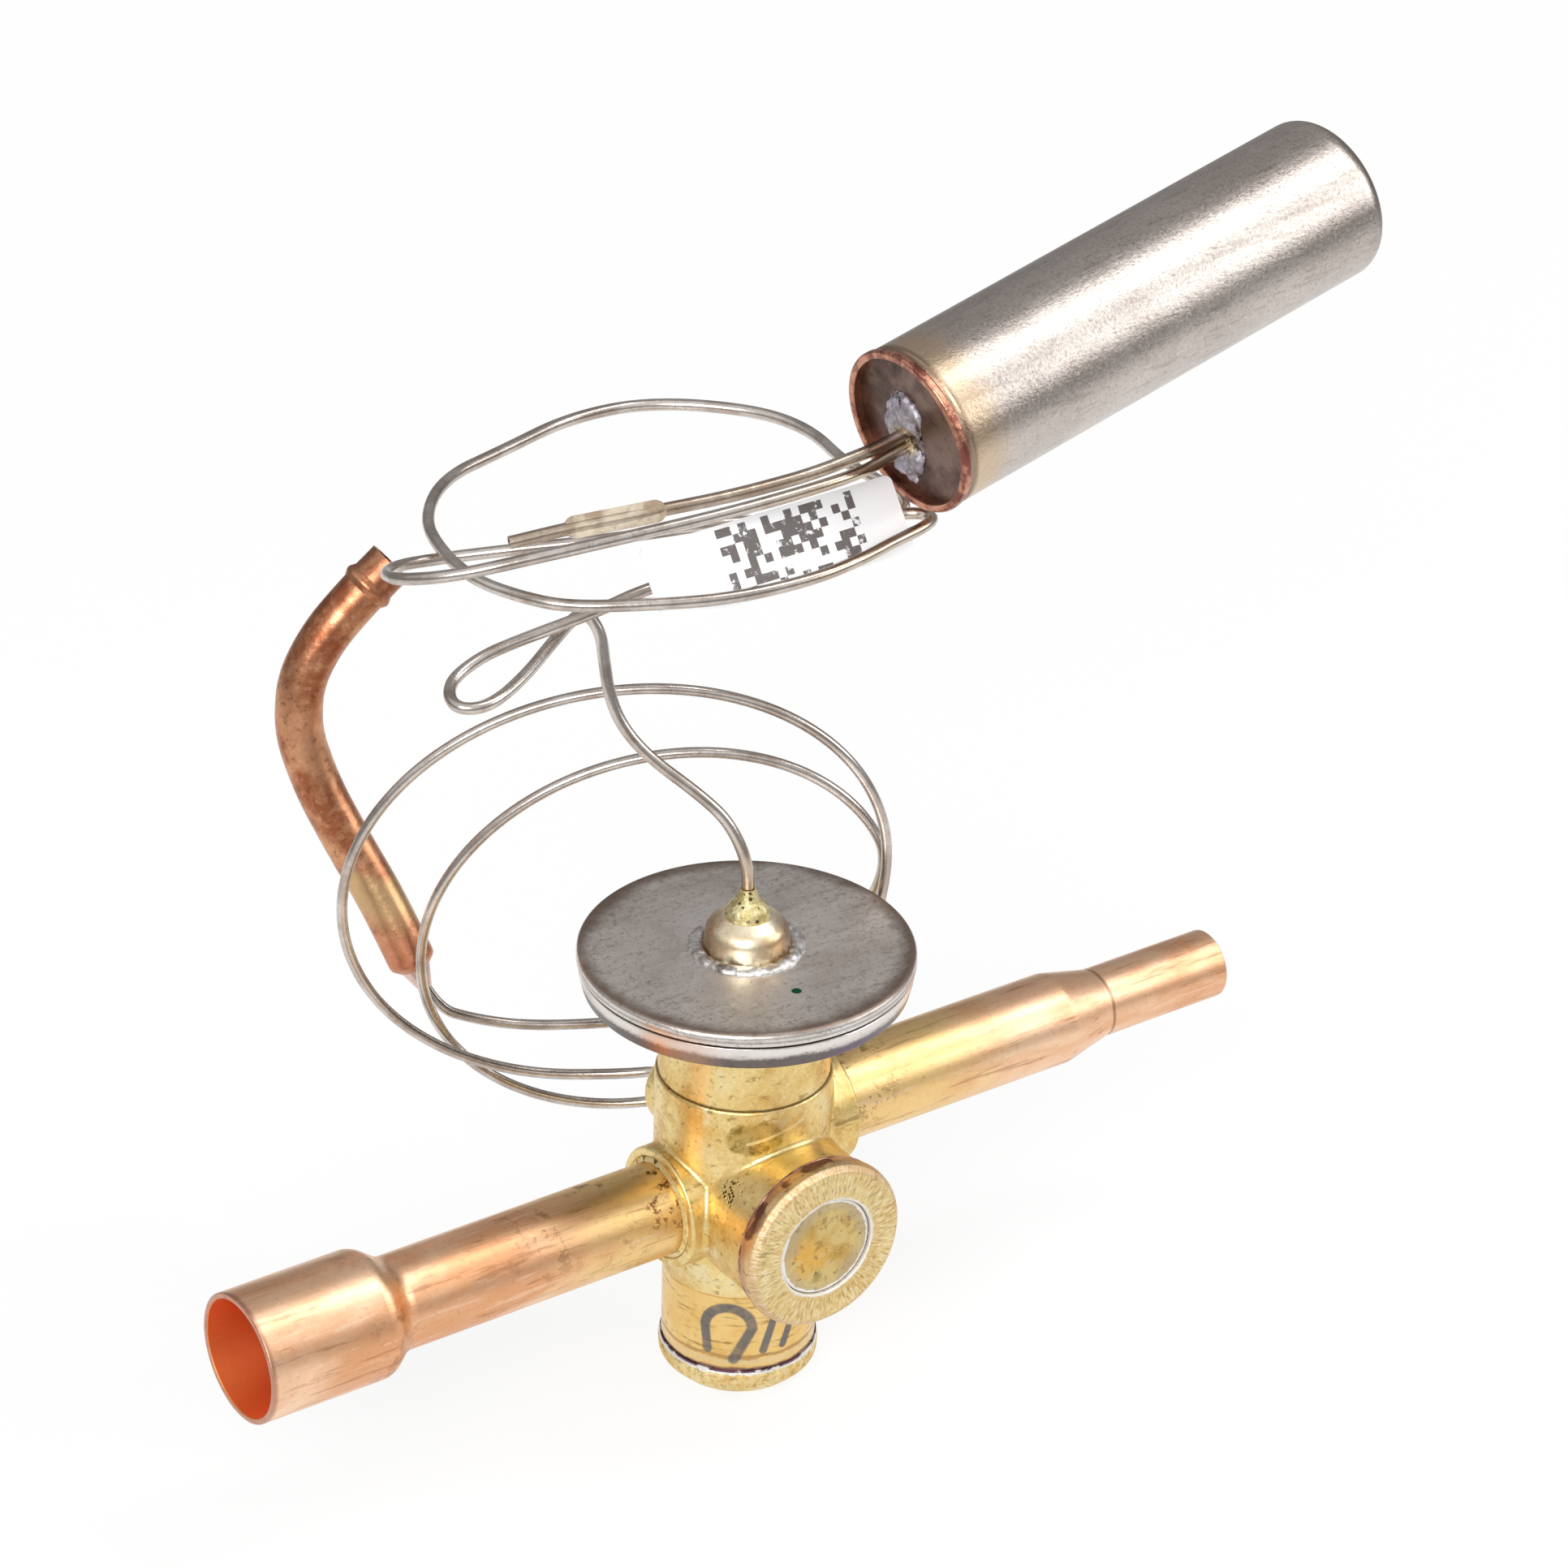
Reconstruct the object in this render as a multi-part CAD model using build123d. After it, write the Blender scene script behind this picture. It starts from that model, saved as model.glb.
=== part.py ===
from build123d import *
import os
from math import cos, hypot, pi, radians, sin, sqrt, tan

# A thermostatic expansion valve with an internal reverse-flow check valve, in millimetres.
# The origin is the centre of the bottom cap, +Z runs up the valve stem, +X leaves by the outlet,
# -X by the inlet, -Y by the front boss and +Y by the equaliser boss.

# ---- clearances ----
running_gap = 0.05          # radial, between sliding or located round parts
seat_gap = 0.03             # between a closed valve member and its seat
tube_gap = 0.04             # radial, between a brazed tube and its socket
press_gap = 0.02            # radial, between pieces pressed or welded together

# ---- valve body, from the bottom up ----
cap_height = 4.3
cap_spigot = 1.3            # stands up inside the neck
braze_height = 0.3
cap_radius = 10.7
neck_radius = 10.3
neck_length = 11.8
neck_step = 0.3
taper_height = 3.6
body_radius = 11.7
inlet_rise = 12.1           # from the top of the lower neck to the inlet axis
port_rise = 7.7             # from the inlet axis to the outlet axis
shoulder_rise = 9.9         # from the outlet axis to the body shoulder
upper_neck_radius = 11.3
upper_neck_length = 8.3
spigot_radius = 9.0
spigot_length = 2.6
collar_radius = 8.3
collar_reach = 13.3         # from the stem to each collar's face
socket_depth = 4.3
socket_chamfer = 0.8
passage_radius = 4.5
forge_radius = 0.7          # where the collars and bosses run into the stem
cut_lead = 1.0              # how far a bore's cut runs past the face it opens

# ---- bores along the stem ----
nut_bore_radius = 6.9
nut_bore_depth = 8.0
spring_bore_radius = 6.4
seat_rise = 2.0             # from the inlet axis to the underside of the seat
seat_bore_radius = 3.6
seat_length = 2.7
seat_hole_radius = 2.2
port_radius = 2.6
port_length = 0.8
upper_bore_radius = 4.6
upper_bore_top = 5.3        # from the outlet axis
push_rod_radius = 1.2
guide_length = 3.5
packing_radius = 3.0
packing_length = 1.8
retainer_length = 1.2
diaphragm_bore_radius = 7.0

# ---- front boss, its check valve and its closure ----
front_boss_radius = 11.2
front_boss_reach = 16.2
check_bore_radius = 6.0
check_bore_start = 7.2
check_passage_radius = 3.0
outer_chamber_radius = 7.6
outer_chamber_depth = 0.6
check_seat_length = 1.6
check_seat_hole = 1.9
check_ball_radius = 2.75
check_travel = 1.2
check_cage_bore = 3.2
check_cage_hole = 1.6
bypass_radius = 1.2
bypass_offset = 5.8         # sideways from the stem
bypass_rise = 5.3           # above the boss axis
front_ring_radius = 12.0
front_ring_length = 3.3
plug_radius = 8.5
plug_flange = 2.1
plug_spigot_radius = 6.95
plug_spigot = 1.0
plug_hollow_radius = 7.2
plug_hollow_depth = 1.0

# ---- spring, nut and pin ----
nut_length = 6.0
nut_gap = 0.4               # between the nut and the cap's spigot
hex_across_flats = 5.0
hex_depth = 3.5
spring_length = 10.0
spring_mean_radius = 4.6
spring_wire_radius = 0.7
spring_turns = 4.5
carrier_length = 4.0
carrier_boss_radius = 3.2
pin_cone_angle = 30.0
pin_cone_radius = 3.0
pin_tip_radius = 1.3
pin_stem_radius = 1.6
pin_lift = 0.9

# ---- power head ----
upper_shell_radius = 22.1
rim_step = 0.3              # the lower shell's rim stands in by this much
upper_shell_height = 1.9
shell_gauge = 1.2
diaphragm_gauge = 0.3
diaphragm_inset = 0.6       # from the lower shell's rim
clamp_width = 4.2           # of the diaphragm between the shells
buffer_radius = 9.8
buffer_thickness = 1.2
buffer_stem_radius = 3.0
buffer_stem_length = 7.0
head_rise = 7.8             # from the upper neck's top to the diaphragm
dome_radius = 5.7
dome_top_radius = 3.3
dome_height = 4.8
weld_radius = 7.9
weld_height = 0.5
solder_height = 3.8

# ---- tubes ----
tube_radius = 6.35
tube_wall = 0.8
swage_bore_radius = 7.95
inlet_reach = 76.8
swage_length = 18.8
swage_taper = 3.2
outlet_reach = 77.4
reduced_radius = 4.765
reducer_start = 50.7
reducer_length = 7.2
bulb_capillary_radius = 0.8
capillary_wall = 0.3
equaliser_radius = 0.72
back_boss_radius = 6.2
back_boss_reach = 14.4
equaliser_seat_depth = 3.9
duct_radius = 0.6
vertical_duct_radius = 0.8
vertical_duct_y = 6.0
stub_radius = 3.175
stub_wall = 0.76
stub_foot = 2.4              # height of the rounded shoulder below the tube
stub_foot_radius = 2.0
charging_radius = 0.85
charging_wall = 0.3
pinch_length = 13.0
pinch_width = 2.9
pinch_gauge = 1.1

# ---- sensing bulb ----
bulb_radius = 11.1
bulb_wall = 0.9
bulb_length = 74.6
bulb_corner = 3.0
bulb_bead = 1.0
plate_recess = 1.4
plate_gauge = 1.0
plate_solder = 0.5
label_gauge = 0.3
label_length = 38.4
label_width = 10.3

# ---- levels worked out from the sizes above ----
body_bottom = cap_height + braze_height
neck_top = body_bottom + neck_length
inlet_z = neck_top + inlet_rise
outlet_z = inlet_z + port_rise
shoulder_z = outlet_z + shoulder_rise
upper_neck_top = shoulder_z + upper_neck_length
body_top = upper_neck_top + spigot_length
seat_z = inlet_z + seat_rise
seat_top = seat_z + seat_length
guide_bottom = outlet_z + upper_bore_top
packing_z = guide_bottom + guide_length
packing_top = packing_z + packing_length
retainer_top = packing_top + retainer_length
nut_z = cap_height + cap_spigot + nut_gap
spring_z = nut_z + nut_length
carrier_z = spring_z + spring_length
cone_slope = tan(radians(pin_cone_angle))
cone_z = seat_z - (pin_cone_radius - seat_hole_radius) / cone_slope - seat_gap
tip_z = cone_z + (pin_cone_radius - pin_tip_radius) / cone_slope
diaphragm_z = upper_neck_top + head_rise
buffer_foot_z = diaphragm_z - buffer_thickness - buffer_stem_length
upper_shell_z = diaphragm_z + diaphragm_gauge
upper_shell_top = upper_shell_z + upper_shell_height
dome_top = upper_shell_top + dome_height
front_ring_z = front_boss_reach + braze_height
collar_socket = collar_reach - socket_depth
head_radius = upper_shell_radius - rim_step
diaphragm_radius = head_radius - diaphragm_inset
flex_radius = diaphragm_radius - clamp_width        # free part of the diaphragm
check_chamber_z = front_boss_reach - outer_chamber_depth
check_seat_z = check_chamber_z - check_seat_length
check_ball_z = check_seat_z - sqrt(check_ball_radius ** 2 - check_seat_hole ** 2) - seat_gap
check_cage_floor = check_ball_z - check_ball_radius - check_travel - seat_gap

# Places measured outward along a boss: local +Z leaves the body.
front = Location((0, 0, inlet_z), (90, 0, 0))
back = Location((0, 0, outlet_z), (-90, 0, 0))
left = Location((0, 0, inlet_z), (0, -90, 0))
right = Location((0, 0, outlet_z), (0, 90, 0))


def outline(points):
    """A closed face in the XZ plane through (radius, height[, corner radius]) points."""
    corners = [Vector(point[0], 0, point[1]) for point in points]
    stops = []
    for i, point in enumerate(points):
        here = corners[i]
        radius = point[2] if len(point) > 2 else 0
        if radius == 0:
            stops.append((here, here, here))
            continue
        back_way = (corners[i - 1] - here).normalized()
        forward_way = (corners[(i + 1) % len(points)] - here).normalized()
        half = radians(back_way.get_angle(forward_way)) / 2
        setback = radius / tan(half)
        middle = here + (back_way + forward_way).normalized() * (radius / sin(half) - radius)
        stops.append((here + back_way * setback, middle, here + forward_way * setback))
    edges = []
    for i, (start, middle, end) in enumerate(stops):
        if (end - start).length > 1e-6:
            edges.append(ThreePointArc(start, middle, end))
        following = stops[(i + 1) % len(stops)][0]
        if (following - end).length > 1e-6:
            edges.append(Line(end, following))
    return make_face(Wire(edges))


def turned(points):
    """A solid turned about the Z axis from an outline of (radius, height[, corner radius])."""
    return Solid(revolve(outline(points), Axis.Z, 360).solid().wrapped)


def rod(radius, start, end):
    """A plain cylinder along Z."""
    return Solid.make_cylinder(radius, end - start, Plane((0, 0, start)))


def ring(inner, outer, start, end):
    """A plain ring along Z."""
    return turned([(inner, start), (outer, start), (outer, end), (inner, end)])


def bend_radii(points):
    """The arc at each inner point takes 0.45 of the shorter run beside it."""
    radii = []
    for before, here, after in zip(points, points[1:], points[2:]):
        arriving = Vector(*here) - Vector(*before)
        leaving = Vector(*after) - Vector(*here)
        half_turn = radians(arriving.get_angle(leaving)) / 2
        radii.append(0.45 * min(arriving.length, leaving.length) / tan(half_turn))
    return radii


def formed_tube(name, points, radius, wall):
    """A tube bent along straight runs joined by tangent arcs, open at both ends."""
    radii = bend_radii(points)
    print(name, "bend radii", [round(value, 1) for value in radii])
    path = FilletPolyline(*points, radius=radii)
    section = Plane(path @ 0, z_dir=path % 0) * (Circle(radius) - Circle(radius - wall))
    tube = sweep(section, path=path)
    area = pi * (radius ** 2 - (radius - wall) ** 2)
    print(name, "volume over section times length", round(tube.volume / (area * path.length), 4))
    return tube


# ==== castings and closures ====

def on_join(edge):
    """Whether an edge of the forging lies where two of its round walls meet."""
    for place in (0.3, 0.5):
        spot = edge @ place
        stem_reach = hypot(spot.X, spot.Y)
        on_neck = spot.Z < neck_top + taper_height and stem_reach < body_radius
        walls = [
            on_neck or abs(stem_reach - body_radius) < 1e-3,
            spot.X < 0 and abs(hypot(spot.Y, spot.Z - inlet_z) - collar_radius) < 1e-3,
            spot.X > 0 and abs(hypot(spot.Y, spot.Z - outlet_z) - collar_radius) < 1e-3,
            spot.Y < 0 and abs(hypot(spot.X, spot.Z - inlet_z) - front_boss_radius) < 1e-3,
            spot.Y > 0 and abs(hypot(spot.X, spot.Z - outlet_z) - back_boss_radius) < 1e-3]
        if sum(walls) < 2:
            return False
    return True


def make_valve_body():
    stem = turned([
        (0, body_bottom), (neck_radius, body_bottom), (neck_radius, neck_top - 0.4),
        (neck_radius + neck_step, neck_top), (body_radius, neck_top + taper_height, 4.0),
        (body_radius, shoulder_z, 0.6), (upper_neck_radius, shoulder_z), (upper_neck_radius, upper_neck_top),
        (spigot_radius, upper_neck_top), (spigot_radius, body_top), (0, body_top)])
    collar = turned([(0, 0), (collar_radius, 0), (collar_radius, collar_reach, 0.5), (0, collar_reach)])
    front_boss = turned([(0, 0), (front_boss_radius, 0), (front_boss_radius, front_boss_reach, 0.4),
                         (0, front_boss_reach)])
    back_boss = turned([(0, 0), (back_boss_radius, 0), (back_boss_radius, back_boss_reach, 0.8),
                        (0, back_boss_reach)])
    casting = stem + left * collar + right * collar + front * front_boss + back * back_boss
    casting = casting.fillet(forge_radius, [edge for edge in casting.edges() if on_join(edge)])

    stem_bore = turned([
        (0, body_bottom - cut_lead), (nut_bore_radius, body_bottom - cut_lead),
        (nut_bore_radius, body_bottom + nut_bore_depth), (spring_bore_radius, body_bottom + nut_bore_depth),
        (spring_bore_radius, seat_z), (seat_bore_radius, seat_z), (seat_bore_radius, seat_top),
        (port_radius, seat_top), (port_radius, seat_top + port_length),
        (upper_bore_radius, seat_top + port_length), (upper_bore_radius, guide_bottom),
        (push_rod_radius + running_gap, guide_bottom), (push_rod_radius + running_gap, packing_z),
        (packing_radius, packing_z), (packing_radius, retainer_top),
        (diaphragm_bore_radius, retainer_top), (diaphragm_bore_radius, body_top + cut_lead),
        (0, body_top + cut_lead)])
    spring_side = spring_bore_radius - 1.4      # cuts across to the stem start inside its bore
    port_side = upper_bore_radius - 0.7
    socket_radius = tube_radius + tube_gap
    socket = [(passage_radius, collar_socket), (socket_radius, collar_socket),
              (socket_radius, collar_reach - socket_chamfer),
              (socket_radius + socket_chamfer + cut_lead, collar_reach + cut_lead),
              (0, collar_reach + cut_lead)]
    inlet_bore = turned([(0, spring_side), (passage_radius, spring_side)] + socket)
    outlet_bore = turned([(0, port_side), (passage_radius, port_side)] + socket)
    boss_lead = front_boss_reach + cut_lead
    front_bore = turned([
        (0, spring_side), (check_passage_radius, spring_side), (check_passage_radius, check_bore_start),
        (check_bore_radius, check_bore_start), (check_bore_radius, check_chamber_z),
        (outer_chamber_radius, check_chamber_z), (outer_chamber_radius, boss_lead), (0, boss_lead)])
    line_seat = back_boss_reach - equaliser_seat_depth
    line_bore = equaliser_radius + tube_gap
    back_bore = turned([
        (0, vertical_duct_y), (duct_radius, vertical_duct_y), (duct_radius, line_seat),
        (line_bore, line_seat), (line_bore, back_boss_reach + cut_lead), (0, back_boss_reach + cut_lead)])
    bypass = Pos(bypass_offset, bypass_rise, 0) * rod(bypass_radius, 0, boss_lead)
    riser_start = outlet_z - vertical_duct_radius
    riser = Pos(0, vertical_duct_y, 0) * rod(vertical_duct_radius, riser_start, retainer_top + cut_lead)
    body = casting - stem_bore - left * inlet_bore - right * outlet_bore
    return body - front * front_bore - back * back_bore - front * bypass - riser


def make_bottom_cap():
    spigot = nut_bore_radius - running_gap
    spigot_top = cap_height + cap_spigot
    return turned([(0, 0), (cap_radius - 2.1, 0), (cap_radius - 0.1, 1.9, 2.0), (cap_radius, 3.6, 1.0),
                   (cap_radius - 0.2, cap_height), (spigot, cap_height), (spigot, spigot_top, 0.3),
                   (0, spigot_top)])


def make_bottom_braze():
    return ring(nut_bore_radius + 1.3, neck_radius + 0.2, cap_height, body_bottom)


def make_boss_braze():
    outer = front_boss_radius + 0.4
    return front * turned([(plug_radius + 0.1, front_boss_reach), (outer, front_boss_reach),
                           (outer + 0.1, front_boss_reach + braze_height / 2, 0.1), (outer, front_ring_z),
                           (plug_radius + 0.1, front_ring_z)])


def make_boss_ring():
    face = front_ring_z + front_ring_length
    flange_top = front_boss_reach + plug_flange
    return front * turned([
        (plug_radius + running_gap, front_ring_z), (front_ring_radius - 0.4, front_ring_z),
        (front_ring_radius, front_ring_z + 1.4, 2.0), (front_ring_radius - 0.15, face - 0.9, 0.7),
        (front_ring_radius - 0.9, face, 0.6), (plug_spigot_radius + running_gap, face, 0.2),
        (plug_spigot_radius + running_gap, flange_top), (plug_radius + running_gap, flange_top)])


def make_boss_plug():
    flange_top = front_boss_reach + plug_flange
    return front * turned([
        (0, front_boss_reach + plug_hollow_depth), (plug_hollow_radius, front_boss_reach + plug_hollow_depth),
        (plug_hollow_radius, front_boss_reach), (plug_radius, front_boss_reach), (plug_radius, flange_top),
        (plug_spigot_radius, flange_top), (plug_spigot_radius, flange_top + plug_spigot, 0.3),
        (0, flange_top + plug_spigot)])


# ==== check valve in the front boss ====

def make_check_seat():
    outer = check_bore_radius - running_gap
    return front * turned([(check_seat_hole, check_seat_z), (outer, check_seat_z),
                           (outer, check_chamber_z, 0.2), (check_seat_hole + 0.3, check_chamber_z),
                           (check_seat_hole, check_chamber_z - 0.3)])


def make_check_cage():
    outer = check_bore_radius - running_gap
    cage = turned([(check_cage_hole, check_bore_start), (outer, check_bore_start), (outer, check_seat_z),
                   (check_cage_bore, check_seat_z), (check_cage_bore, check_cage_floor),
                   (check_cage_hole, check_cage_floor)])
    for turn in (30, 150, 270):
        slot = Pos(check_cage_hole + 0.6, 0, check_bore_start) * Box(2.4, 1.2, 4.0)
        cage -= Rot(0, 0, turn) * slot
    return front * cage


def make_check_ball():
    return Solid.make_sphere(check_ball_radius).moved(front * Location((0, 0, check_ball_z)))


# ==== spring set ====

def make_adjusting_nut():
    outer = nut_bore_radius - running_gap
    nut = turned([(1.5, nut_z), (outer, nut_z, 0.4), (outer, spring_z), (3.4, spring_z),
                  (3.4, spring_z + 1.5, 0.4), (1.5, spring_z + 1.5)])
    hexagon = Pos(0, 0, nut_z) * RegularPolygon(hex_across_flats / 2, 6, major_radius=False)
    return nut - extrude(hexagon, hex_depth)


def make_superheat_spring():
    helix_height = spring_length - 2 * spring_wire_radius
    coil = Helix(helix_height / spring_turns, helix_height, spring_mean_radius)
    wire = sweep(Plane(coil @ 0, z_dir=coil % 0) * Circle(spring_wire_radius), path=coil, is_frenet=True)
    return Pos(0, 0, spring_z + spring_wire_radius) * wire


def make_pin_carrier():
    outer = spring_bore_radius - running_gap
    disc_top = carrier_z + carrier_length
    carrier = turned([(0, carrier_z - 1.5), (3.0, carrier_z - 1.5, 0.4), (3.0, carrier_z),
                      (outer, carrier_z), (outer, disc_top, 0.3), (carrier_boss_radius, disc_top),
                      (carrier_boss_radius, cone_z), (pin_stem_radius, cone_z),
                      (pin_stem_radius, carrier_z + 1), (0, carrier_z + 1)])
    for turn in (0, 120, 240):
        flat = Pos(outer, 0, carrier_z + carrier_length / 2) * Box(2.2, 12, carrier_length + 1)
        carrier -= Rot(0, 0, turn) * flat
    return carrier


def make_valve_pin():
    return turned([(0, carrier_z + 1), (pin_stem_radius, carrier_z + 1), (pin_stem_radius, cone_z),
                   (pin_cone_radius, cone_z), (pin_tip_radius, tip_z), (0, tip_z)])


def make_seat_insert():
    outer = seat_bore_radius - running_gap
    return turned([(seat_hole_radius, seat_z), (outer, seat_z), (outer, seat_top),
                   (seat_hole_radius + 0.4, seat_top), (seat_hole_radius, seat_top - 0.8)])


def make_push_rod():
    return turned([(0, tip_z), (push_rod_radius, tip_z), (push_rod_radius, buffer_foot_z, 0.2),
                   (0, buffer_foot_z)])


def make_rod_packing():
    return ring(push_rod_radius + running_gap, packing_radius - press_gap, packing_z, packing_top)


def make_packing_retainer():
    bore = push_rod_radius + 2 * running_gap
    outer = packing_radius - press_gap
    return turned([(bore, packing_top), (outer, packing_top), (outer, retainer_top, 0.2),
                   (bore, retainer_top)])


def make_buffer_plate():
    disc_z = diaphragm_z - buffer_thickness
    return turned([(0, buffer_foot_z), (buffer_stem_radius, buffer_foot_z, 0.3),
                   (buffer_stem_radius, disc_z, 0.5), (buffer_radius, disc_z, 0.3),
                   (buffer_radius, diaphragm_z, 0.3), (0, diaphragm_z)])


# ==== power head ====

def make_lower_shell():
    flange_z = upper_neck_top + shell_gauge
    inner_z = diaphragm_z - pin_lift        # the diaphragm drops this far as the pin opens
    return turned([
        (spigot_radius + press_gap, upper_neck_top), (spigot_radius + 2.0, upper_neck_top, 0.3),
        (spigot_radius + 2.0, flange_z, 0.8), (head_radius - 2.0, diaphragm_z - 3.6, 1.2),
        (head_radius - 0.5, diaphragm_z - 3.2, 0.5), (head_radius, diaphragm_z - 1.2, 0.6),
        (head_radius, diaphragm_z, 0.2), (flex_radius + 0.5, diaphragm_z, 0.4),
        (flex_radius - 0.2, inner_z, 0.5), (spigot_radius + 2.0, body_top + 0.3, 0.8),
        (spigot_radius + 0.6, body_top, 0.3), (spigot_radius + press_gap, body_top)])


def make_diaphragm():
    """A thin disc with three ring corrugations between the buffer plate and the rim."""
    first = buffer_radius + 0.6
    pitch = (flex_radius - 0.3 - first) / 3
    crest = 0.35
    lower = [(0, diaphragm_z)]
    for i in range(3):
        start = first + i * pitch
        lower += [(start, diaphragm_z, 0.5), (start + pitch / 2, diaphragm_z + crest, 0.5)]
    lower += [(first + 3 * pitch, diaphragm_z, 0.5), (diaphragm_radius, diaphragm_z)]
    upper = [(point[0], point[1] + diaphragm_gauge) + tuple(point[2:]) for point in reversed(lower)]
    return turned(lower + upper)


def make_upper_shell():
    bore = bulb_capillary_radius + 1.2
    return turned([(bore, upper_shell_z + 0.7), (flex_radius, upper_shell_z + 0.7, 0.2),
                   (flex_radius, upper_shell_z), (upper_shell_radius, upper_shell_z, 0.4),
                   (upper_shell_radius, upper_shell_top, 0.8), (bore, upper_shell_top)])


def make_head_dome():
    bore = bulb_capillary_radius + tube_gap
    return turned([(bore, upper_shell_top), (dome_radius, upper_shell_top),
                   (dome_radius - 0.25, upper_shell_top + 3.2, 2.6), (dome_top_radius, dome_top),
                   (bore, dome_top)])


def make_dome_weld():
    return turned([(dome_radius + press_gap, upper_shell_top), (weld_radius, upper_shell_top),
                   (weld_radius - 0.5, upper_shell_top + weld_height, 0.3),
                   (dome_radius + press_gap, upper_shell_top + weld_height)])


def make_dome_solder():
    bore = bulb_capillary_radius + tube_gap
    top = dome_top + solder_height
    return turned([(bore, dome_top), (dome_top_radius - 0.3, dome_top),
                   (dome_top_radius - 0.6, dome_top + 1.0, 0.5), (bore + 0.75, dome_top + 2.2, 0.8),
                   (bore + 0.15, top), (bore, top)])


# ==== connection tubes ====

def make_inlet_tube():
    swage = swage_bore_radius + tube_wall
    bore = tube_radius - tube_wall
    taper_end = inlet_reach - swage_length
    taper_start = taper_end - swage_taper
    return left * turned([
        (bore, collar_socket), (tube_radius, collar_socket), (tube_radius, taper_start, 3.0),
        (swage, taper_end, 3.0), (swage, inlet_reach, 0.2), (swage_bore_radius, inlet_reach, 0.2),
        (swage_bore_radius, taper_end, 2.5), (bore, taper_start, 3.5)])


def make_outlet_tube():
    bore = tube_radius - tube_wall
    small_bore = reduced_radius - tube_wall
    reducer_end = reducer_start + reducer_length
    return right * turned([
        (bore, collar_socket), (tube_radius, collar_socket), (tube_radius, reducer_start, 4.0),
        (reduced_radius, reducer_end, 4.0), (reduced_radius, outlet_reach, 0.2),
        (small_bore, outlet_reach, 0.2), (small_bore, reducer_end, 3.5), (bore, reducer_start, 4.5)])


def make_tube_braze():
    """Braze metal in the funnel at a collar's mouth."""
    inner = tube_radius + press_gap
    return turned([(inner, collar_reach - 0.6), (inner + 0.2, collar_reach - 0.6),
                   (inner + 0.6, collar_reach - 0.15), (inner, collar_reach + 0.25)])


# ==== external equaliser ====

coil_heading = radians(28.5)    # both turns stand in vertical planes at this angle to the stem


def on_turn(offset, centre, half_width, half_height, tilt, angle):
    """A point on one oval turn of the equaliser coil, by its angle from the oval's own axis."""
    along = half_width * cos(radians(angle))
    up = half_height * sin(radians(angle))
    side = centre[0] + along * cos(radians(tilt)) - up * sin(radians(tilt))
    height = centre[1] + along * sin(radians(tilt)) + up * cos(radians(tilt))
    return (side * cos(coil_heading), offset - side * sin(coil_heading), height)


def equaliser_route():
    outlet_start = [(0, back_boss_reach - equaliser_seat_depth + 0.1, outlet_z),
                    (0, back_boss_reach + 2.6, outlet_z)]
    outer_turn = [on_turn(19.0, (-6.6, 64.2), 36.7, 29.4, 11.9, angle)
                  for angle in range(262, -23, -20)]
    behind_body = [(22.4, 7.6, 45.0), (12.5, 13.5, 33.0)]
    inner_turn = [on_turn(22.0, (0.7, 55.3), 32.5, 26.6, 20.7, angle)
                  for angle in range(254, -23, -20)]
    return_run = [(24.0, 12.4, 50.5), (17.0, 17.0, 43.5), (6.5, 22.4, 39.9), (-4.4, 27.4, 39.4),
                  (-13.5, 32.3, 39.6), (-19.4, 35.5, 41.0), along_stub(8.4), along_stub(3.0)]
    return outlet_start + outer_turn + behind_body + inner_turn + return_run


def along_stub(distance):
    """A point on the stub's axis, that far below its foot."""
    foot = Vector(*stub_route[0])
    return tuple(foot + (foot - Vector(*stub_route[1])).normalized() * distance)


stub_route = [(-26.0, 41.3, 50.6), (-27.7, 45.3, 57.6), (-30.0, 49.6, 64.6), (-32.3, 53.4, 72.0),
              (-33.7, 56.0, 79.6), (-32.8, 56.7, 86.6), (-29.6, 56.2, 92.4), (-24.9, 55.3, 97.4),
              (-20.0, 54.5, 101.6)]


def make_equaliser_capillary():
    return formed_tube("equaliser_capillary", equaliser_route(), equaliser_radius, capillary_wall)


def make_equaliser_braze():
    start = back_boss_reach
    return back * turned([(equaliser_radius + tube_gap, start), (3.2, start), (2.2, start + 0.5, 0.4),
                          (equaliser_radius + 0.3, start + 0.7), (equaliser_radius + tube_gap, start + 0.7)])


def make_equaliser_stub():
    """Connection stub with a rounded shoulder at its lower end and a rolled bead by its mouth."""
    path = FilletPolyline(*stub_route, radius=bend_radii(stub_route))
    start_plane = Plane(path @ 0, z_dir=path % 0)
    outside = sweep(start_plane * Circle(stub_radius), path=path)
    inside = sweep(start_plane * Circle(stub_radius - stub_wall), path=path)
    foot = Plane(Vector(*stub_route[0]), z_dir=Vector(*stub_route[0]) - Vector(*stub_route[1]))
    shoulder = turned([(0, 0), (stub_radius, 0), (stub_radius, 1.4, 1.1), (stub_foot_radius, stub_foot),
                       (0, stub_foot)])
    mouth = Plane(Vector(*stub_route[-1]), z_dir=Vector(*stub_route[-1]) - Vector(*stub_route[-2]))
    bead = turned([(stub_radius - stub_wall / 2, -5.3), (stub_radius + 0.05, -5.3),
                   (stub_radius + 0.55, -4.35, 0.8), (stub_radius + 0.05, -3.4),
                   (stub_radius - stub_wall / 2, -3.4)])
    hole = rod(equaliser_radius + tube_gap, -1, stub_foot + 1)
    tube = outside + shoulder.moved(foot.location) + bead.moved(mouth.location)
    return tube - inside - hole.moved(foot.location)


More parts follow.
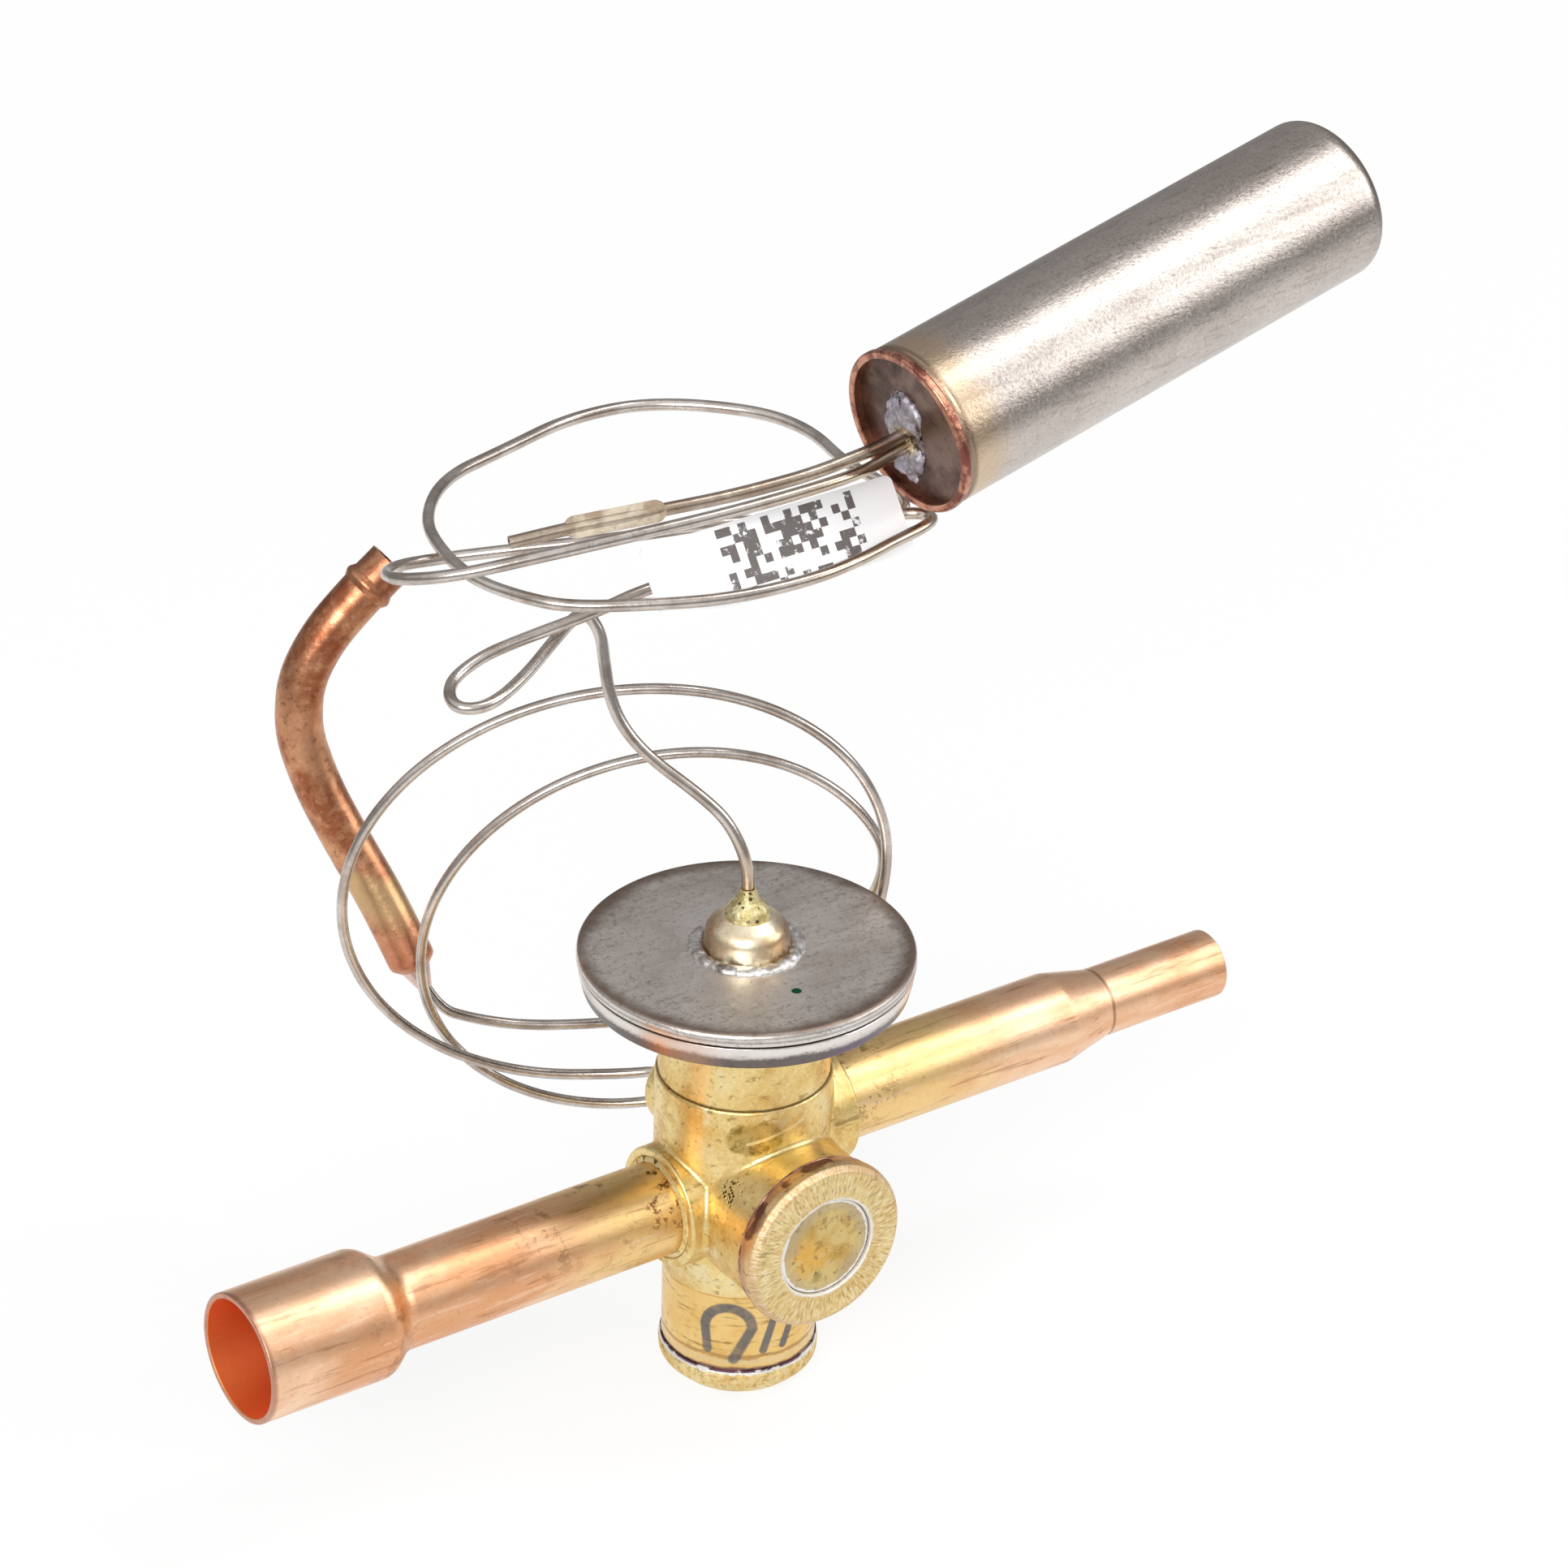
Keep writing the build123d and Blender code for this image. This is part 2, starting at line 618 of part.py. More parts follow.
def make_stub_solder():
    foot = Plane(Vector(*stub_route[0]), z_dir=Vector(*stub_route[0]) - Vector(*stub_route[1]))
    hole = equaliser_radius + tube_gap
    cone = turned([(hole, stub_foot), (stub_foot_radius, stub_foot), (hole + 0.15, stub_foot + 3.0),
                   (hole, stub_foot + 3.0)])
    return cone.moved(foot.location)


# ==== sensing bulb ====

bulb_mouth = Vector(24.4, 2.42, 130.89)
bulb_way = Vector(0.98007, 0.08210, 0.18089)
bulb_plane = Plane(bulb_mouth, x_dir=Vector(-0.08347, 0.99651, 0), z_dir=bulb_way)
capillary_hole = (1.78, -3.45)
charging_hole = (2.14, -1.70)


def in_bulb(point, depth):
    """A world point from a place on the bulb's end plate and a depth into the bulb."""
    return tuple(bulb_plane.from_local_coords(Vector(point[0], point[1], depth)))


def make_bulb_shell():
    bore = bulb_radius - bulb_wall
    return turned([
        (bore, 0, 0.2), (bulb_radius + 0.2, 0, 0.35), (bulb_radius + 0.2, bulb_bead, 0.3),
        (bulb_radius - 0.2, bulb_bead + 0.3), (bulb_radius - 0.2, bulb_bead + 0.7),
        (bulb_radius, bulb_bead + 1.0), (bulb_radius, bulb_length, bulb_corner), (0, bulb_length),
        (0, bulb_length - bulb_wall), (bore, bulb_length - bulb_wall, bulb_corner - bulb_wall)
    ]).moved(bulb_plane.location)


def make_bulb_end_plate():
    outer = bulb_radius - bulb_wall - press_gap
    plate = rod(outer, plate_recess, plate_recess + plate_gauge)
    plate -= Pos(*capillary_hole, 0) * rod(bulb_capillary_radius + tube_gap, 0, plate_recess + 3)
    plate -= Pos(*charging_hole, 0) * rod(charging_radius + tube_gap, 0, plate_recess + 3)
    return plate.moved(bulb_plane.location)


def make_bulb_solder():
    edge = [(2.25, 5.34, 1.2), (-1.93, 2.96, 1.2), (-1.37, -1.59, 1.2), (-2.96, -6.47, 1.0),
            (-0.69, -8.84, 1.2), (5.09, -8.14, 1.6), (6.62, -3.81, 1.6), (6.18, 0.71, 1.2)]
    face = Rot(-90, 0, 0) * outline([(x, -y, r) for x, y, r in edge])
    flat = Pos(0, 0, plate_recess - plate_solder) * face
    blob = extrude(flat, plate_solder, dir=(0, 0, 1))
    blob -= Pos(*capillary_hole, 0) * rod(bulb_capillary_radius + tube_gap, 0, plate_recess + 3)
    blob -= Pos(*charging_hole, 0) * rod(charging_radius + tube_gap, 0, plate_recess + 3)
    return blob.moved(bulb_plane.location)


capillary_route = [
    (0, 0, upper_shell_top + 0.2), (0, 0, 71.5), (0, 0.2, 76.8), (-1.6, 2.3, 82.2), (-4.8, 4.6, 86.2),
    (-9.7, 8.8, 91.0), (-12.2, 11.2, 95.0), (-13.2, 12.8, 99.0), (-13.1, 14.2, 103.2), (-12.9, 15.4, 107.2),
    (-14.6, 16.9, 110.3), (-19.2, 15.1, 109.0), (-28.0, 10.2, 107.1), (-34.9, 7.6, 106.3),
    (-38.6, 9.6, 106.4), (-36.8, 13.9, 107.4), (-31.2, 15.2, 108.9), (-25.7, 14.6, 110.0),
    (-15.2, 12.4, 112.2), (-8.7, 11.7, 113.8), (9.6, 10.6, 114.7), (20.6, 8.9, 114.7), (27.4, 8.0, 114.9),
    (30.3, 9.3, 116.4), (29.2, 13.2, 117.8), (27.9, 20.3, 118), (29.7, 30.3, 118), (26.8, 39.1, 118),
    (16.3, 48.5, 118), (4.6, 50.1, 118), (-7.6, 46.7, 118), (-18.6, 44.1, 118), (-26.6, 35.7, 118),
    (-29.3, 27.0, 118), (-29.9, 18.4, 118), (-27.5, 11.8, 118), (-23.9, 6.3, 118), (-15.0, 1.4, 118),
    (-5.6, -2.7, 118), (5.7, -4.0, 118), (14.0, -2.9, 118), (20.4, -1.7, 118.5), (25.4, -0.9, 118.6),
    (28.4, 0.9, 118.5), (27.4, 4.0, 118.1), (23.2, 5.3, 118.0), (16.1, 7.3, 118.7), (3.9, 11.3, 120.1),
    (-9.5, 17.0, 118.8), (-20.5, 24.2, 117.1), (-28.4, 29.6, 115.6), (-34.5, 29.5, 116.4),
    (-39.2, 25.1, 118.4), (-40.5, 18.9, 120.8), (-36.5, 12.9, 122.9), (-28.1, 9.0, 124.6),
    (-15.1, 5.0, 126.1), (-2.5, 2.3, 127.0), (9.0, 1.1, 127.6), (17.4, 1.6, 127.6),
    in_bulb(capillary_hole, -1.6), in_bulb(capillary_hole, plate_recess + plate_gauge)]

charging_route = [
    in_bulb(charging_hole, plate_recess + plate_gauge), in_bulb(charging_hole, -1.8), (19.7, 4.1, 128.7),
    (11.6, 4.7, 127.5), (0.4, 6.4, 126.7), (-10.2, 8.8, 126.3), (-19.6, 12.1, 125.3), (-27.2, 14.6, 124.2)]


pinch_across = Vector(0.267, 0.421, 0.867)      # the blade's width lies along this


def make_bulb_capillary():
    return formed_tube("bulb_capillary", capillary_route, bulb_capillary_radius, capillary_wall)


def make_charging_stub():
    """The bulb's charging stub, with the flat where it was pinched shut after filling."""
    path = FilletPolyline(*charging_route, radius=bend_radii(charging_route))
    start_plane = Plane(path @ 0, z_dir=path % 0)
    rod_body = sweep(start_plane * Circle(charging_radius), path=path)
    hollow = sweep(start_plane * Circle(charging_radius - charging_wall), path=path)
    start = Vector(*charging_route[5])
    way = (Vector(*charging_route[6]) - start).normalized()
    flat_plane = Plane(start + way * 4.4, x_dir=way, z_dir=way.cross(pinch_across))
    blade = flat_plane * extrude(SlotOverall(pinch_length, pinch_width), pinch_gauge / 2, both=True)
    closed = flat_plane * Box(pinch_length - pinch_width, 2 * pinch_width, 2 * pinch_width)
    return rod_body + blade - (hollow - closed)


label_centre = Vector(6.0, 3.81, 118.68)
label_normal = Vector(0, -0.80, 0.59)


def make_capillary_label():
    """A printed film flag that stands between the strands where they turn by the bulb."""
    sheet = Plane(label_centre, x_dir=Vector(1, 0, 0), z_dir=label_normal)
    return sheet * extrude(RectangleRounded(label_length, label_width, 1.0), label_gauge)


PARTS = {
    "valve_body": make_valve_body,
    "bottom_cap": make_bottom_cap,
    "bottom_braze": make_bottom_braze,
    "adjusting_nut": make_adjusting_nut,
    "superheat_spring": make_superheat_spring,
    "pin_carrier": make_pin_carrier,
    "valve_pin": make_valve_pin,
    "seat_insert": make_seat_insert,
    "push_rod": make_push_rod,
    "rod_packing": make_rod_packing,
    "packing_retainer": make_packing_retainer,
    "buffer_plate": make_buffer_plate,
    "lower_shell": make_lower_shell,
    "diaphragm": make_diaphragm,
    "upper_shell": make_upper_shell,
    "head_dome": make_head_dome,
    "dome_weld": make_dome_weld,
    "dome_solder": make_dome_solder,
    "boss_braze": make_boss_braze,
    "boss_ring": make_boss_ring,
    "boss_plug": make_boss_plug,
    "check_seat": make_check_seat,
    "check_cage": make_check_cage,
    "check_ball": make_check_ball,
    "inlet_tube": make_inlet_tube,
    "inlet_braze": lambda: left * make_tube_braze(),
    "outlet_tube": make_outlet_tube,
    "outlet_braze": lambda: right * make_tube_braze(),
    "equaliser_capillary": make_equaliser_capillary,
    "equaliser_braze": make_equaliser_braze,
    "equaliser_stub": make_equaliser_stub,
    "stub_solder": make_stub_solder,
    "bulb_shell": make_bulb_shell,
    "bulb_end_plate": make_bulb_end_plate,
    "bulb_solder": make_bulb_solder,
    "bulb_capillary": make_bulb_capillary,
    "charging_stub": make_charging_stub,
    "capillary_label": make_capillary_label,
}

os.makedirs("parts", exist_ok=True)
for name, make in PARTS.items():
    piece = make()
    export_step(piece, os.path.join("parts", name + ".step"))
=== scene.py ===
from math import cos, radians, sin

import bpy
from mathutils import Matrix, Vector


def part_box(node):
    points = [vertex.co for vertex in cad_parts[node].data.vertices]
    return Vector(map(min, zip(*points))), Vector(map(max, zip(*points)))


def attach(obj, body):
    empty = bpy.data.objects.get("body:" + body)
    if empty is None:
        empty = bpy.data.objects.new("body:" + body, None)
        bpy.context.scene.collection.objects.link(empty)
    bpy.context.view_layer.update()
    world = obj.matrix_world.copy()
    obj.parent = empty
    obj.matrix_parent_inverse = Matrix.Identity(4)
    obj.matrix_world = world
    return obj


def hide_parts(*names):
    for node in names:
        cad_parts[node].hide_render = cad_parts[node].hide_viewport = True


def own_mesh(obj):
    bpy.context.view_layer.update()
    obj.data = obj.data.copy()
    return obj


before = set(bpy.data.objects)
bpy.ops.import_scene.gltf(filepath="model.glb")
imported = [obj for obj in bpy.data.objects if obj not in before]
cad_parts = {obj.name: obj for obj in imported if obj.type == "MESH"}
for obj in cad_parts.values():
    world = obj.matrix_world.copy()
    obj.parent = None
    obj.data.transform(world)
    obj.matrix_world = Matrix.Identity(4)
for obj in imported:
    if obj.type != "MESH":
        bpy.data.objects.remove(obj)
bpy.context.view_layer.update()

mm = 0.001


# ---- Camera ----
# A long lens a little over 0.8 m away looks down on the valve from the front left, so the front
# boss and the bulb's mouth both face it.
camera_place = Vector((-397.18, -564.44, 484.66)) * mm
camera_right = Vector((0.82172, -0.56941, 0.02327))
camera_up = Vector((0.26700, 0.42075, 0.86700))
camera_back = camera_right.cross(camera_up)
camera_data = bpy.data.cameras.new("studio_camera")
camera_data.lens = 143.42
camera_data.sensor_width = 36
camera_data.clip_start = 0.05
camera_data.clip_end = 20
camera = bpy.data.objects.new("studio_camera", camera_data)
bpy.context.collection.objects.link(camera)
turn = Matrix((camera_right, camera_up, camera_back)).transposed().to_4x4()
camera.matrix_world = Matrix.Translation(camera_place) @ turn
bpy.context.scene.camera = camera


# ---- Valve body ----
# A hot-forged brass body, machined on its necks and boss faces. It is left bare, so it carries
# olive and orange stains, pits, scratches and grey brush strokes; above the boss a dark oval is
# painted as the reflection in a shallow dent, with a painted highlight line across it.
class Shade:
    """A socket of a material's nodes: arithmetic on it adds Math nodes."""

    def __init__(self, tree, socket=None):
        self.tree = tree
        self.socket = socket

    def add(self, kind, out=0, settings=None, **sockets):
        """Any node: its settings first, then its sockets by name or by number as _0, _1."""
        node = self.tree.nodes.new("ShaderNode" + kind)
        for name, value in (settings or {}).items():
            setattr(node, name, value)
        for name, value in sockets.items():
            key = int(name[1:]) if name[0] == "_" else name.replace("_", " ")
            if isinstance(value, Shade):
                self.tree.links.new(value.socket, node.inputs[key])
            else:
                node.inputs[key].default_value = value
        return Shade(self.tree, node.outputs[out] if node.outputs else None)

    def maths(self, operation, first, second=0.0):
        return self.add("Math", settings={"operation": operation}, _0=first, _1=second)

    def __add__(self, other):
        return self.maths("ADD", self, other)

    def __sub__(self, other):
        return self.maths("SUBTRACT", self, other)

    def __rsub__(self, other):
        return self.maths("SUBTRACT", other, self)

    def __mul__(self, other):
        return self.maths("MULTIPLY", self, other)

    def __truediv__(self, other):
        return self.maths("DIVIDE", self, other)

    __radd__ = __add__
    __rmul__ = __mul__

    def step(self, low, high):
        """0 at low, 1 at high and smooth between; low may be the larger."""
        return self.add("MapRange", settings={"interpolation_type": "SMOOTHSTEP"}, Value=self,
                        From_Min=low, From_Max=high)

    def root(self):
        return self.maths("SQRT", self)

    def size(self):
        return self.maths("ABSOLUTE", self)

    def largest(self, other):
        return self.maths("MAXIMUM", self, other)

    def smallest(self, other):
        return self.maths("MINIMUM", self, other)

    def blend(self, first, second):
        """Two colours mixed by this value."""
        first = first if isinstance(first, Shade) else (*first, 1)
        second = second if isinstance(second, Shade) else (*second, 1)
        return self.add("Mix", 2, {"data_type": "RGBA"}, _0=self, _6=first, _7=second)

    def noise(self, scale, detail=4.0, rough=0.55, twist=0.0):
        return self.add("TexNoise", Vector=self, Scale=scale, Detail=detail, Roughness=rough,
                        Distortion=twist)

    def cells(self, scale):
        return self.add("TexVoronoi", Vector=self, Scale=scale)

    def stretch(self, rotation=(0, 0, 0), scale=(1, 1, 1)):
        return self.add("Mapping", Vector=self, Rotation=rotation, Scale=scale)

    def parts(self):
        """The X, Y and Z of a vector."""
        return [self.add("SeparateXYZ", out, Vector=self) for out in range(3)]

    def distance(self, *point):
        """How far a place is from a point given in millimetres."""
        point = tuple(part * mm for part in point)
        return self.add("VectorMath", 1, {"operation": "DISTANCE"}, _0=self, _1=point)


def tone(red, green, blue):
    """A colour from its 0 to 255 screen values."""
    return tuple(((part / 255 + 0.055) / 1.055) ** 2.4 for part in (red, green, blue))


def finish(name, paint, metallic=1.0):
    """A material: paint takes the object coordinates and returns colour, roughness and relief."""
    material = bpy.data.materials.new(name)
    material.use_nodes = True
    tree = material.node_tree
    tree.nodes.clear()
    start = Shade(tree)
    colour, rough, relief, depth = paint(start.add("TexCoord", 3))
    sockets = {"Base_Color": colour, "Roughness": rough, "Metallic": metallic}
    if relief is not None:
        sockets["Normal"] = start.add("Bump", Height=relief, Distance=depth)
    shader = start.add("BsdfPrincipled", **sockets)
    start.add("OutputMaterial", Surface=shader)
    return material


def wear(node, material):
    """Give a carried-over solid its finish."""
    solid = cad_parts[node].data
    solid.materials.clear()
    solid.materials.append(material)


inlet_height = 28.5
outlet_height = 36.2
neck_round = 10.3
stem_round = 11.7


def paint_forging(place, stain=0.45, dirt=0.35):
    """Pale tan brass with orange and olive stains, fine grain and short scratches."""
    cloud = place.noise(70, 5, 0.6, 0.6)
    blotch = place.noise(230, 5, 0.65, 0.4)
    grain = place.noise(1700, 4, 0.75)
    nick = place.stretch((0.3, 0.5, 0.7), (0.18, 1, 1)).noise(900, 3, 0.6)
    colour = cloud.step(0.36, 0.66).blend(tone(242, 220, 158), tone(224, 188, 112))
    colour = (blotch.step(0.52, 0.68) * stain).blend(colour, tone(198, 146, 66))
    colour = (blotch.step(0.46, 0.30) * 0.7).blend(colour, tone(238, 226, 184))
    colour = (grain.step(0.54, 0.68) * dirt).blend(colour, tone(136, 102, 50))
    colour = (grain.step(0.46, 0.34) * dirt).blend(colour, tone(252, 240, 204))
    colour = (nick.step(0.60, 0.68) * dirt * 1.4).blend(colour, tone(104, 74, 34))
    rough = 0.28 + blotch * 0.22
    relief = blotch * 0.6 + grain * 0.35 - nick.step(0.58, 0.70) * 0.25
    return colour, rough, relief


def stroke(across, up, start, end, width):
    """1 on a brushed stroke between two places on the unrolled stem, all in millimetres."""
    run = end[0] - start[0]
    rise = end[1] - start[1]
    along = ((across - start[0]) * run + (up - start[1]) * rise) / (run * run + rise * rise)
    along = along.largest(0.0).smallest(1.0)
    side = across - start[0] - along * run
    over = up - start[1] - along * rise
    return (side * side + over * over).root().step(width, width * 0.55)


def paint_body(place):
    colour, rough, relief = paint_forging(place)
    across, depth, up = (part / mm for part in place.parts())
    radius = (across * across + depth * depth).root()
    angle = across.maths("ARCTAN2", depth, across) + radians(110)
    rag = place.noise(320, 4, 0.7) - 0.5
    # the machined neck is smoother and more orange, with turned lines
    neck = up.step(16.6, 16.2) * radius.step(10.9, 10.5)
    turned = place.stretch((0, 0, 0), (0.10, 0.10, 1)).noise(1500, 3, 0.7)
    colour = (neck * 0.6).blend(colour, tone(238, 192, 112))
    colour = (neck * turned.step(0.56, 0.68) * 0.55).blend(colour, tone(120, 78, 34))
    lip = (up + rag * 1.2 - 5.8).size().step(0.6, 0.3) * neck
    colour = (lip * 0.6).blend(colour, tone(226, 204, 160))
    colour = (neck * (up + rag * 1.2 - 6.7).size().step(0.4, 0.15) * 0.6).blend(colour, tone(156, 112, 74))
    bottom = (up + rag * 0.9).step(5.2, 4.8) * neck
    colour = (bottom * 0.85).blend(colour, tone(112, 84, 92))
    # grey brush strokes on the neck: an arch and two slanted lines
    unrolled = angle * neck_round
    arch = (((unrolled + 4.0) / 3.2) * ((unrolled + 4.0) / 3.2) + ((up - 11.2) / 3.3) * ((up - 11.2) / 3.3))
    arch = (arch.root() - 1.0).size().step(0.28, 0.16) * up.step(10.9, 11.3)
    marks = arch.largest(stroke(unrolled, up, (-7.2, 11.2), (-6.8, 7.6), 0.85))
    marks = marks.largest(stroke(unrolled, up, (-0.8, 11.2), (-3.2, 6.4), 0.95))
    marks = marks.largest(stroke(unrolled, up, (0.8, 7.6), (2.3, 12.6), 0.75))
    marks = marks.largest(stroke(unrolled, up, (3.7, 7.8), (5.4, 12.4), 0.75))
    marks = marks * radius.step(10.9, 10.6) * (0.85 + rag * 0.9) * depth.step(0.0, -3.0)
    colour = marks.smallest(0.85).blend(colour, tone(84, 92, 106))
    # a dark oval above the boss, painted as the reflection in a shallow dent, with a pale line painted across
    # it as a highlight
    wrapped = angle * stem_round
    from_patch = ((wrapped + 1.5) / 4.0) * ((wrapped + 1.5) / 4.0) + ((up - 42.0) / 2.7) * ((up - 42.0) / 2.7)
    patch = (from_patch.root() + rag * 1.3).step(1.1, 0.8) * depth.step(-4.0, -7.0)
    mottle = place.noise(620, 4, 0.75)
    colour = (patch * (0.25 + mottle * 0.75)).blend(colour, tone(168, 136, 52))
    colour = (patch * mottle.step(0.52, 0.64) * 0.6).blend(colour, tone(112, 86, 36))
    highlight_line = stroke(wrapped, up, (-2.4, 41.2), (5.4, 43.4), 0.26) * depth.step(-4.0, -7.0)
    colour = (highlight_line * 0.7).blend(colour, tone(250, 234, 190))
    # a dark line in the shoulder's corner
    corner = (up - 46.1 + rag * 0.5).size().step(0.26, 0.06) * radius.step(11.8, 11.4)
    colour = (corner * 0.6).blend(colour, tone(104, 78, 34))
    # a cluster of pits beside the boss
    near = place.distance(-9.05, -10.5, 35.1).step(2.6 * mm, 1.2 * mm)
    pits = near * place.cells(1700).step(0.46, 0.28) * place.noise(700, 2).step(0.34, 0.46)
    colour = (pits * 0.95).blend(colour, tone(60, 44, 24))
    return colour, rough - neck * 0.12 + pits * 0.3, relief - pits * 1.2 + highlight_line * 0.3, 0.00011


wear("valve_body", finish("forged_brass", paint_body))


# ---- Bottom cap ----
# A turned brass cap, brazed over the spring chamber's thread. It is sand-dull and speckled below
# a bright silver line of braze.
def paint_cap(place):
    colour, _, relief = paint_forging(place, 0.35, 0.3)
    up = place.parts()[2]
    grit = place.noise(1100, 4, 0.85)
    colour = (grit.step(0.48, 0.62) * 0.65).blend(colour, tone(238, 226, 190))
    colour = (grit.step(0.47, 0.36) * 0.55).blend(colour, tone(120, 98, 54))
    line = (up + (place.noise(500, 3) - 0.5) * 0.0009).step(3.85 * mm, 4.1 * mm)
    colour = (line * 0.9).blend(colour, tone(236, 234, 232))
    return colour, 0.45 + grit * 0.25 - line * 0.2, grit + relief * 0.4, 0.00022


dull_brass = finish("dull_brass", paint_cap)
wear("bottom_cap", dull_brass)


def paint_braze(place):
    cloud = place.noise(300, 4, 0.7)
    colour = cloud.step(0.42, 0.50).blend(tone(232, 230, 228), tone(112, 84, 98))
    return colour, 0.22 + cloud * 0.2, cloud, 0.00015


silver_braze = finish("silver_braze", paint_braze)
wear("bottom_braze", silver_braze)


# ---- Front boss closure ----
# A rolled brass ring holds a plug over the check valve. Its face keeps short radial tool marks,
# its back edge is pink from brazing, and a bright line runs round the plug.
def boss_polar(place):
    """The angle round the front boss, the distance from its axis and the depth, in millimetres."""
    across, depth, up = (part / mm for part in place.parts())
    up = up - inlet_height
    return across.maths("ARCTAN2", up, across), (across * across + up * up).root(), depth


def paint_ring(place):
    colour, _, relief = paint_forging(place, 0.7, 0.5)
    angle, radius, depth = boss_polar(place)
    rag = place.noise(420, 4, 0.7) - 0.5
    tooled = place.add("CombineXYZ", X=angle * 22, Y=radius * 0.5, Z=0.0).noise(1.3, 4, 0.65)
    face = depth.step(-18.3, -19.3)
    colour = (face * 0.5).blend(colour, tone(226, 200, 142))
    colour = (face * tooled.step(0.50, 0.62) * 0.6).blend(colour, tone(250, 238, 206))
    colour = (face * tooled.step(0.47, 0.38) * 0.45).blend(colour, tone(150, 114, 72))
    rim = (radius + rag * 1.2).step(10.6, 11.5) * face
    colour = (rim * 0.45).blend(colour, tone(206, 164, 142))
    edge = (depth + rag * 1.4).step(-19.2, -17.6)
    colour = (edge * 0.7).blend(colour, tone(190, 140, 118))
    spots = place.noise(210, 3).step(0.56, 0.63)
    colour = (edge * spots * 0.85).blend(colour, tone(92, 48, 50))
    inner = (radius + rag * 0.7).step(7.5, 7.15) * face
    colour = (inner * 0.9).blend(colour, tone(240, 236, 230))
    return colour, 0.40 + tooled * 0.15, relief * 0.5 + face * tooled * 1.4, 0.00016


def paint_plug(place):
    radius = boss_polar(place)[1]
    cloud = place.noise(200, 5, 0.7, 0.6)
    fine = place.noise(900, 4, 0.75)
    colour = cloud.step(0.40, 0.62).blend(tone(214, 190, 128), tone(196, 160, 88))
    warm = place.distance(-3.0, -19.4, 27.0).step(4.6 * mm, 1.6 * mm)
    colour = (warm * cloud.step(0.36, 0.52) * 0.7).blend(colour, tone(232, 182, 88))
    grey = (radius + (cloud - 0.5) * 7).step(4.2, 6.2)
    colour = (grey * 0.5).blend(colour, tone(184, 178, 160))
    colour = (place.noise(330, 4, 0.7).step(0.54, 0.64) * 0.5).blend(colour, tone(128, 110, 66))
    colour = (fine.step(0.56, 0.68) * 0.6).blend(colour, tone(96, 78, 44))
    line = (radius + (fine - 0.5) * 0.8).step(6.35, 6.6)
    colour = line.blend(colour, tone(240, 238, 236))
    return colour, 0.34 + cloud * 0.16, cloud + fine * 0.4, 0.00016


wear("boss_ring", finish("tooled_brass", paint_ring))
wear("boss_plug", finish("stained_brass", paint_plug))


def paint_pink(place):
    cloud = place.noise(300, 4)
    colour = cloud.step(0.4, 0.65).blend(tone(206, 158, 138), tone(104, 62, 62))
    return colour, 0.35 + cloud * 0.15, cloud, 0.0001


wear("boss_braze", finish("pink_braze", paint_pink))


# ---- Connection tubes ----
# Copper tube, brazed into the collars. Heat has left it brassy by the body, the swaged socket and
# the reduced end are salmon pink, and dark flux specks and drag lines run along the top.
def paint_tube(place, side, height, brassy_end, speck_end):
    across, depth, up = (part / mm for part in place.parts())
    reach = across * side
    rise = up - height
    radius = (depth * depth + rise * rise).root()
    cloud = place.stretch(scale=(0.4, 1, 1)).noise(95, 5, 0.6, 0.6)
    drag = place.stretch(scale=(0.07, 1, 1)).noise(900, 4, 0.7)
    fine = place.noise(1300, 4, 0.75)
    colour = cloud.step(0.36, 0.66).blend(tone(250, 212, 178), tone(228, 170, 126))
    brassy = (reach + (cloud - 0.5) * 26).step(brassy_end + 9, brassy_end - 9)
    colour = (brassy * 0.9).blend(colour, tone(242, 208, 142))
    colour = (drag.step(0.56, 0.66) * 0.45).blend(colour, tone(150, 92, 54))
    colour = (drag.step(0.44, 0.36) * 0.4).blend(colour, tone(252, 222, 190))
    colour = (fine.step(0.56, 0.70) * 0.25).blend(colour, tone(140, 88, 52))
    above = rise.step(-3.0, 5.0)
    specks = place.noise(430, 4, 0.75).step(0.53, 0.60) * reach.step(speck_end, 15.0)
    specks = specks * (0.2 + above * 0.8) * place.noise(120, 3).step(0.42, 0.54)
    colour = (specks * 0.85).blend(colour, tone(96, 46, 22))
    return reach, radius, colour, 0.30 + cloud * 0.16, cloud * 0.5 + fine * 0.25 - specks * 0.4


def paint_inlet(place):
    reach, radius, colour, rough, relief = paint_tube(place, -1, inlet_height, 30, 48)
    rim = reach.step(75.9, 76.5)
    colour = (rim * 0.7).blend(colour, tone(176, 120, 104))
    heat = place.noise(150, 4, 0.7).step(0.52, 0.64) * (reach - 58.5).size().step(5.0, 1.0)
    colour = (heat * 0.5).blend(colour, tone(150, 92, 66))
    inside = (reach.step(54.8, 58.0) * 2.4 + 5.62 - radius).step(0.0, 0.06)
    colour = (inside * 0.95).blend(colour, tone(255, 150, 84))
    return colour, rough + inside * 0.2, relief, 0.00009


def paint_outlet(place):
    reach, radius, colour, rough, relief = paint_tube(place, 1, outlet_height, 34, 24)
    # a dark ring painted at the reduced end as the shade in the swage's neck, which the tube's shape lacks
    ring = (reach - 58.2 + place.noise(300, 3) * 0.5).size().step(0.42, 0.12)
    colour = (ring * 0.6).blend(colour, tone(128, 76, 48))
    inside = radius.step(4.1, 4.0)
    colour = (inside * 0.95).blend(colour, tone(255, 128, 60))
    return colour, rough, relief, 0.00009


wear("inlet_tube", finish("inlet_copper", paint_inlet))
wear("outlet_tube", finish("outlet_copper", paint_outlet))


def paint_fillet(place):
    colour, rough, relief = paint_forging(place, 0.6, 0.7)
    return colour, rough, relief, 0.0002


fillet_braze = finish("yellow_braze", paint_fillet)
wear("inlet_braze", fillet_braze)
wear("outlet_braze", fillet_braze)


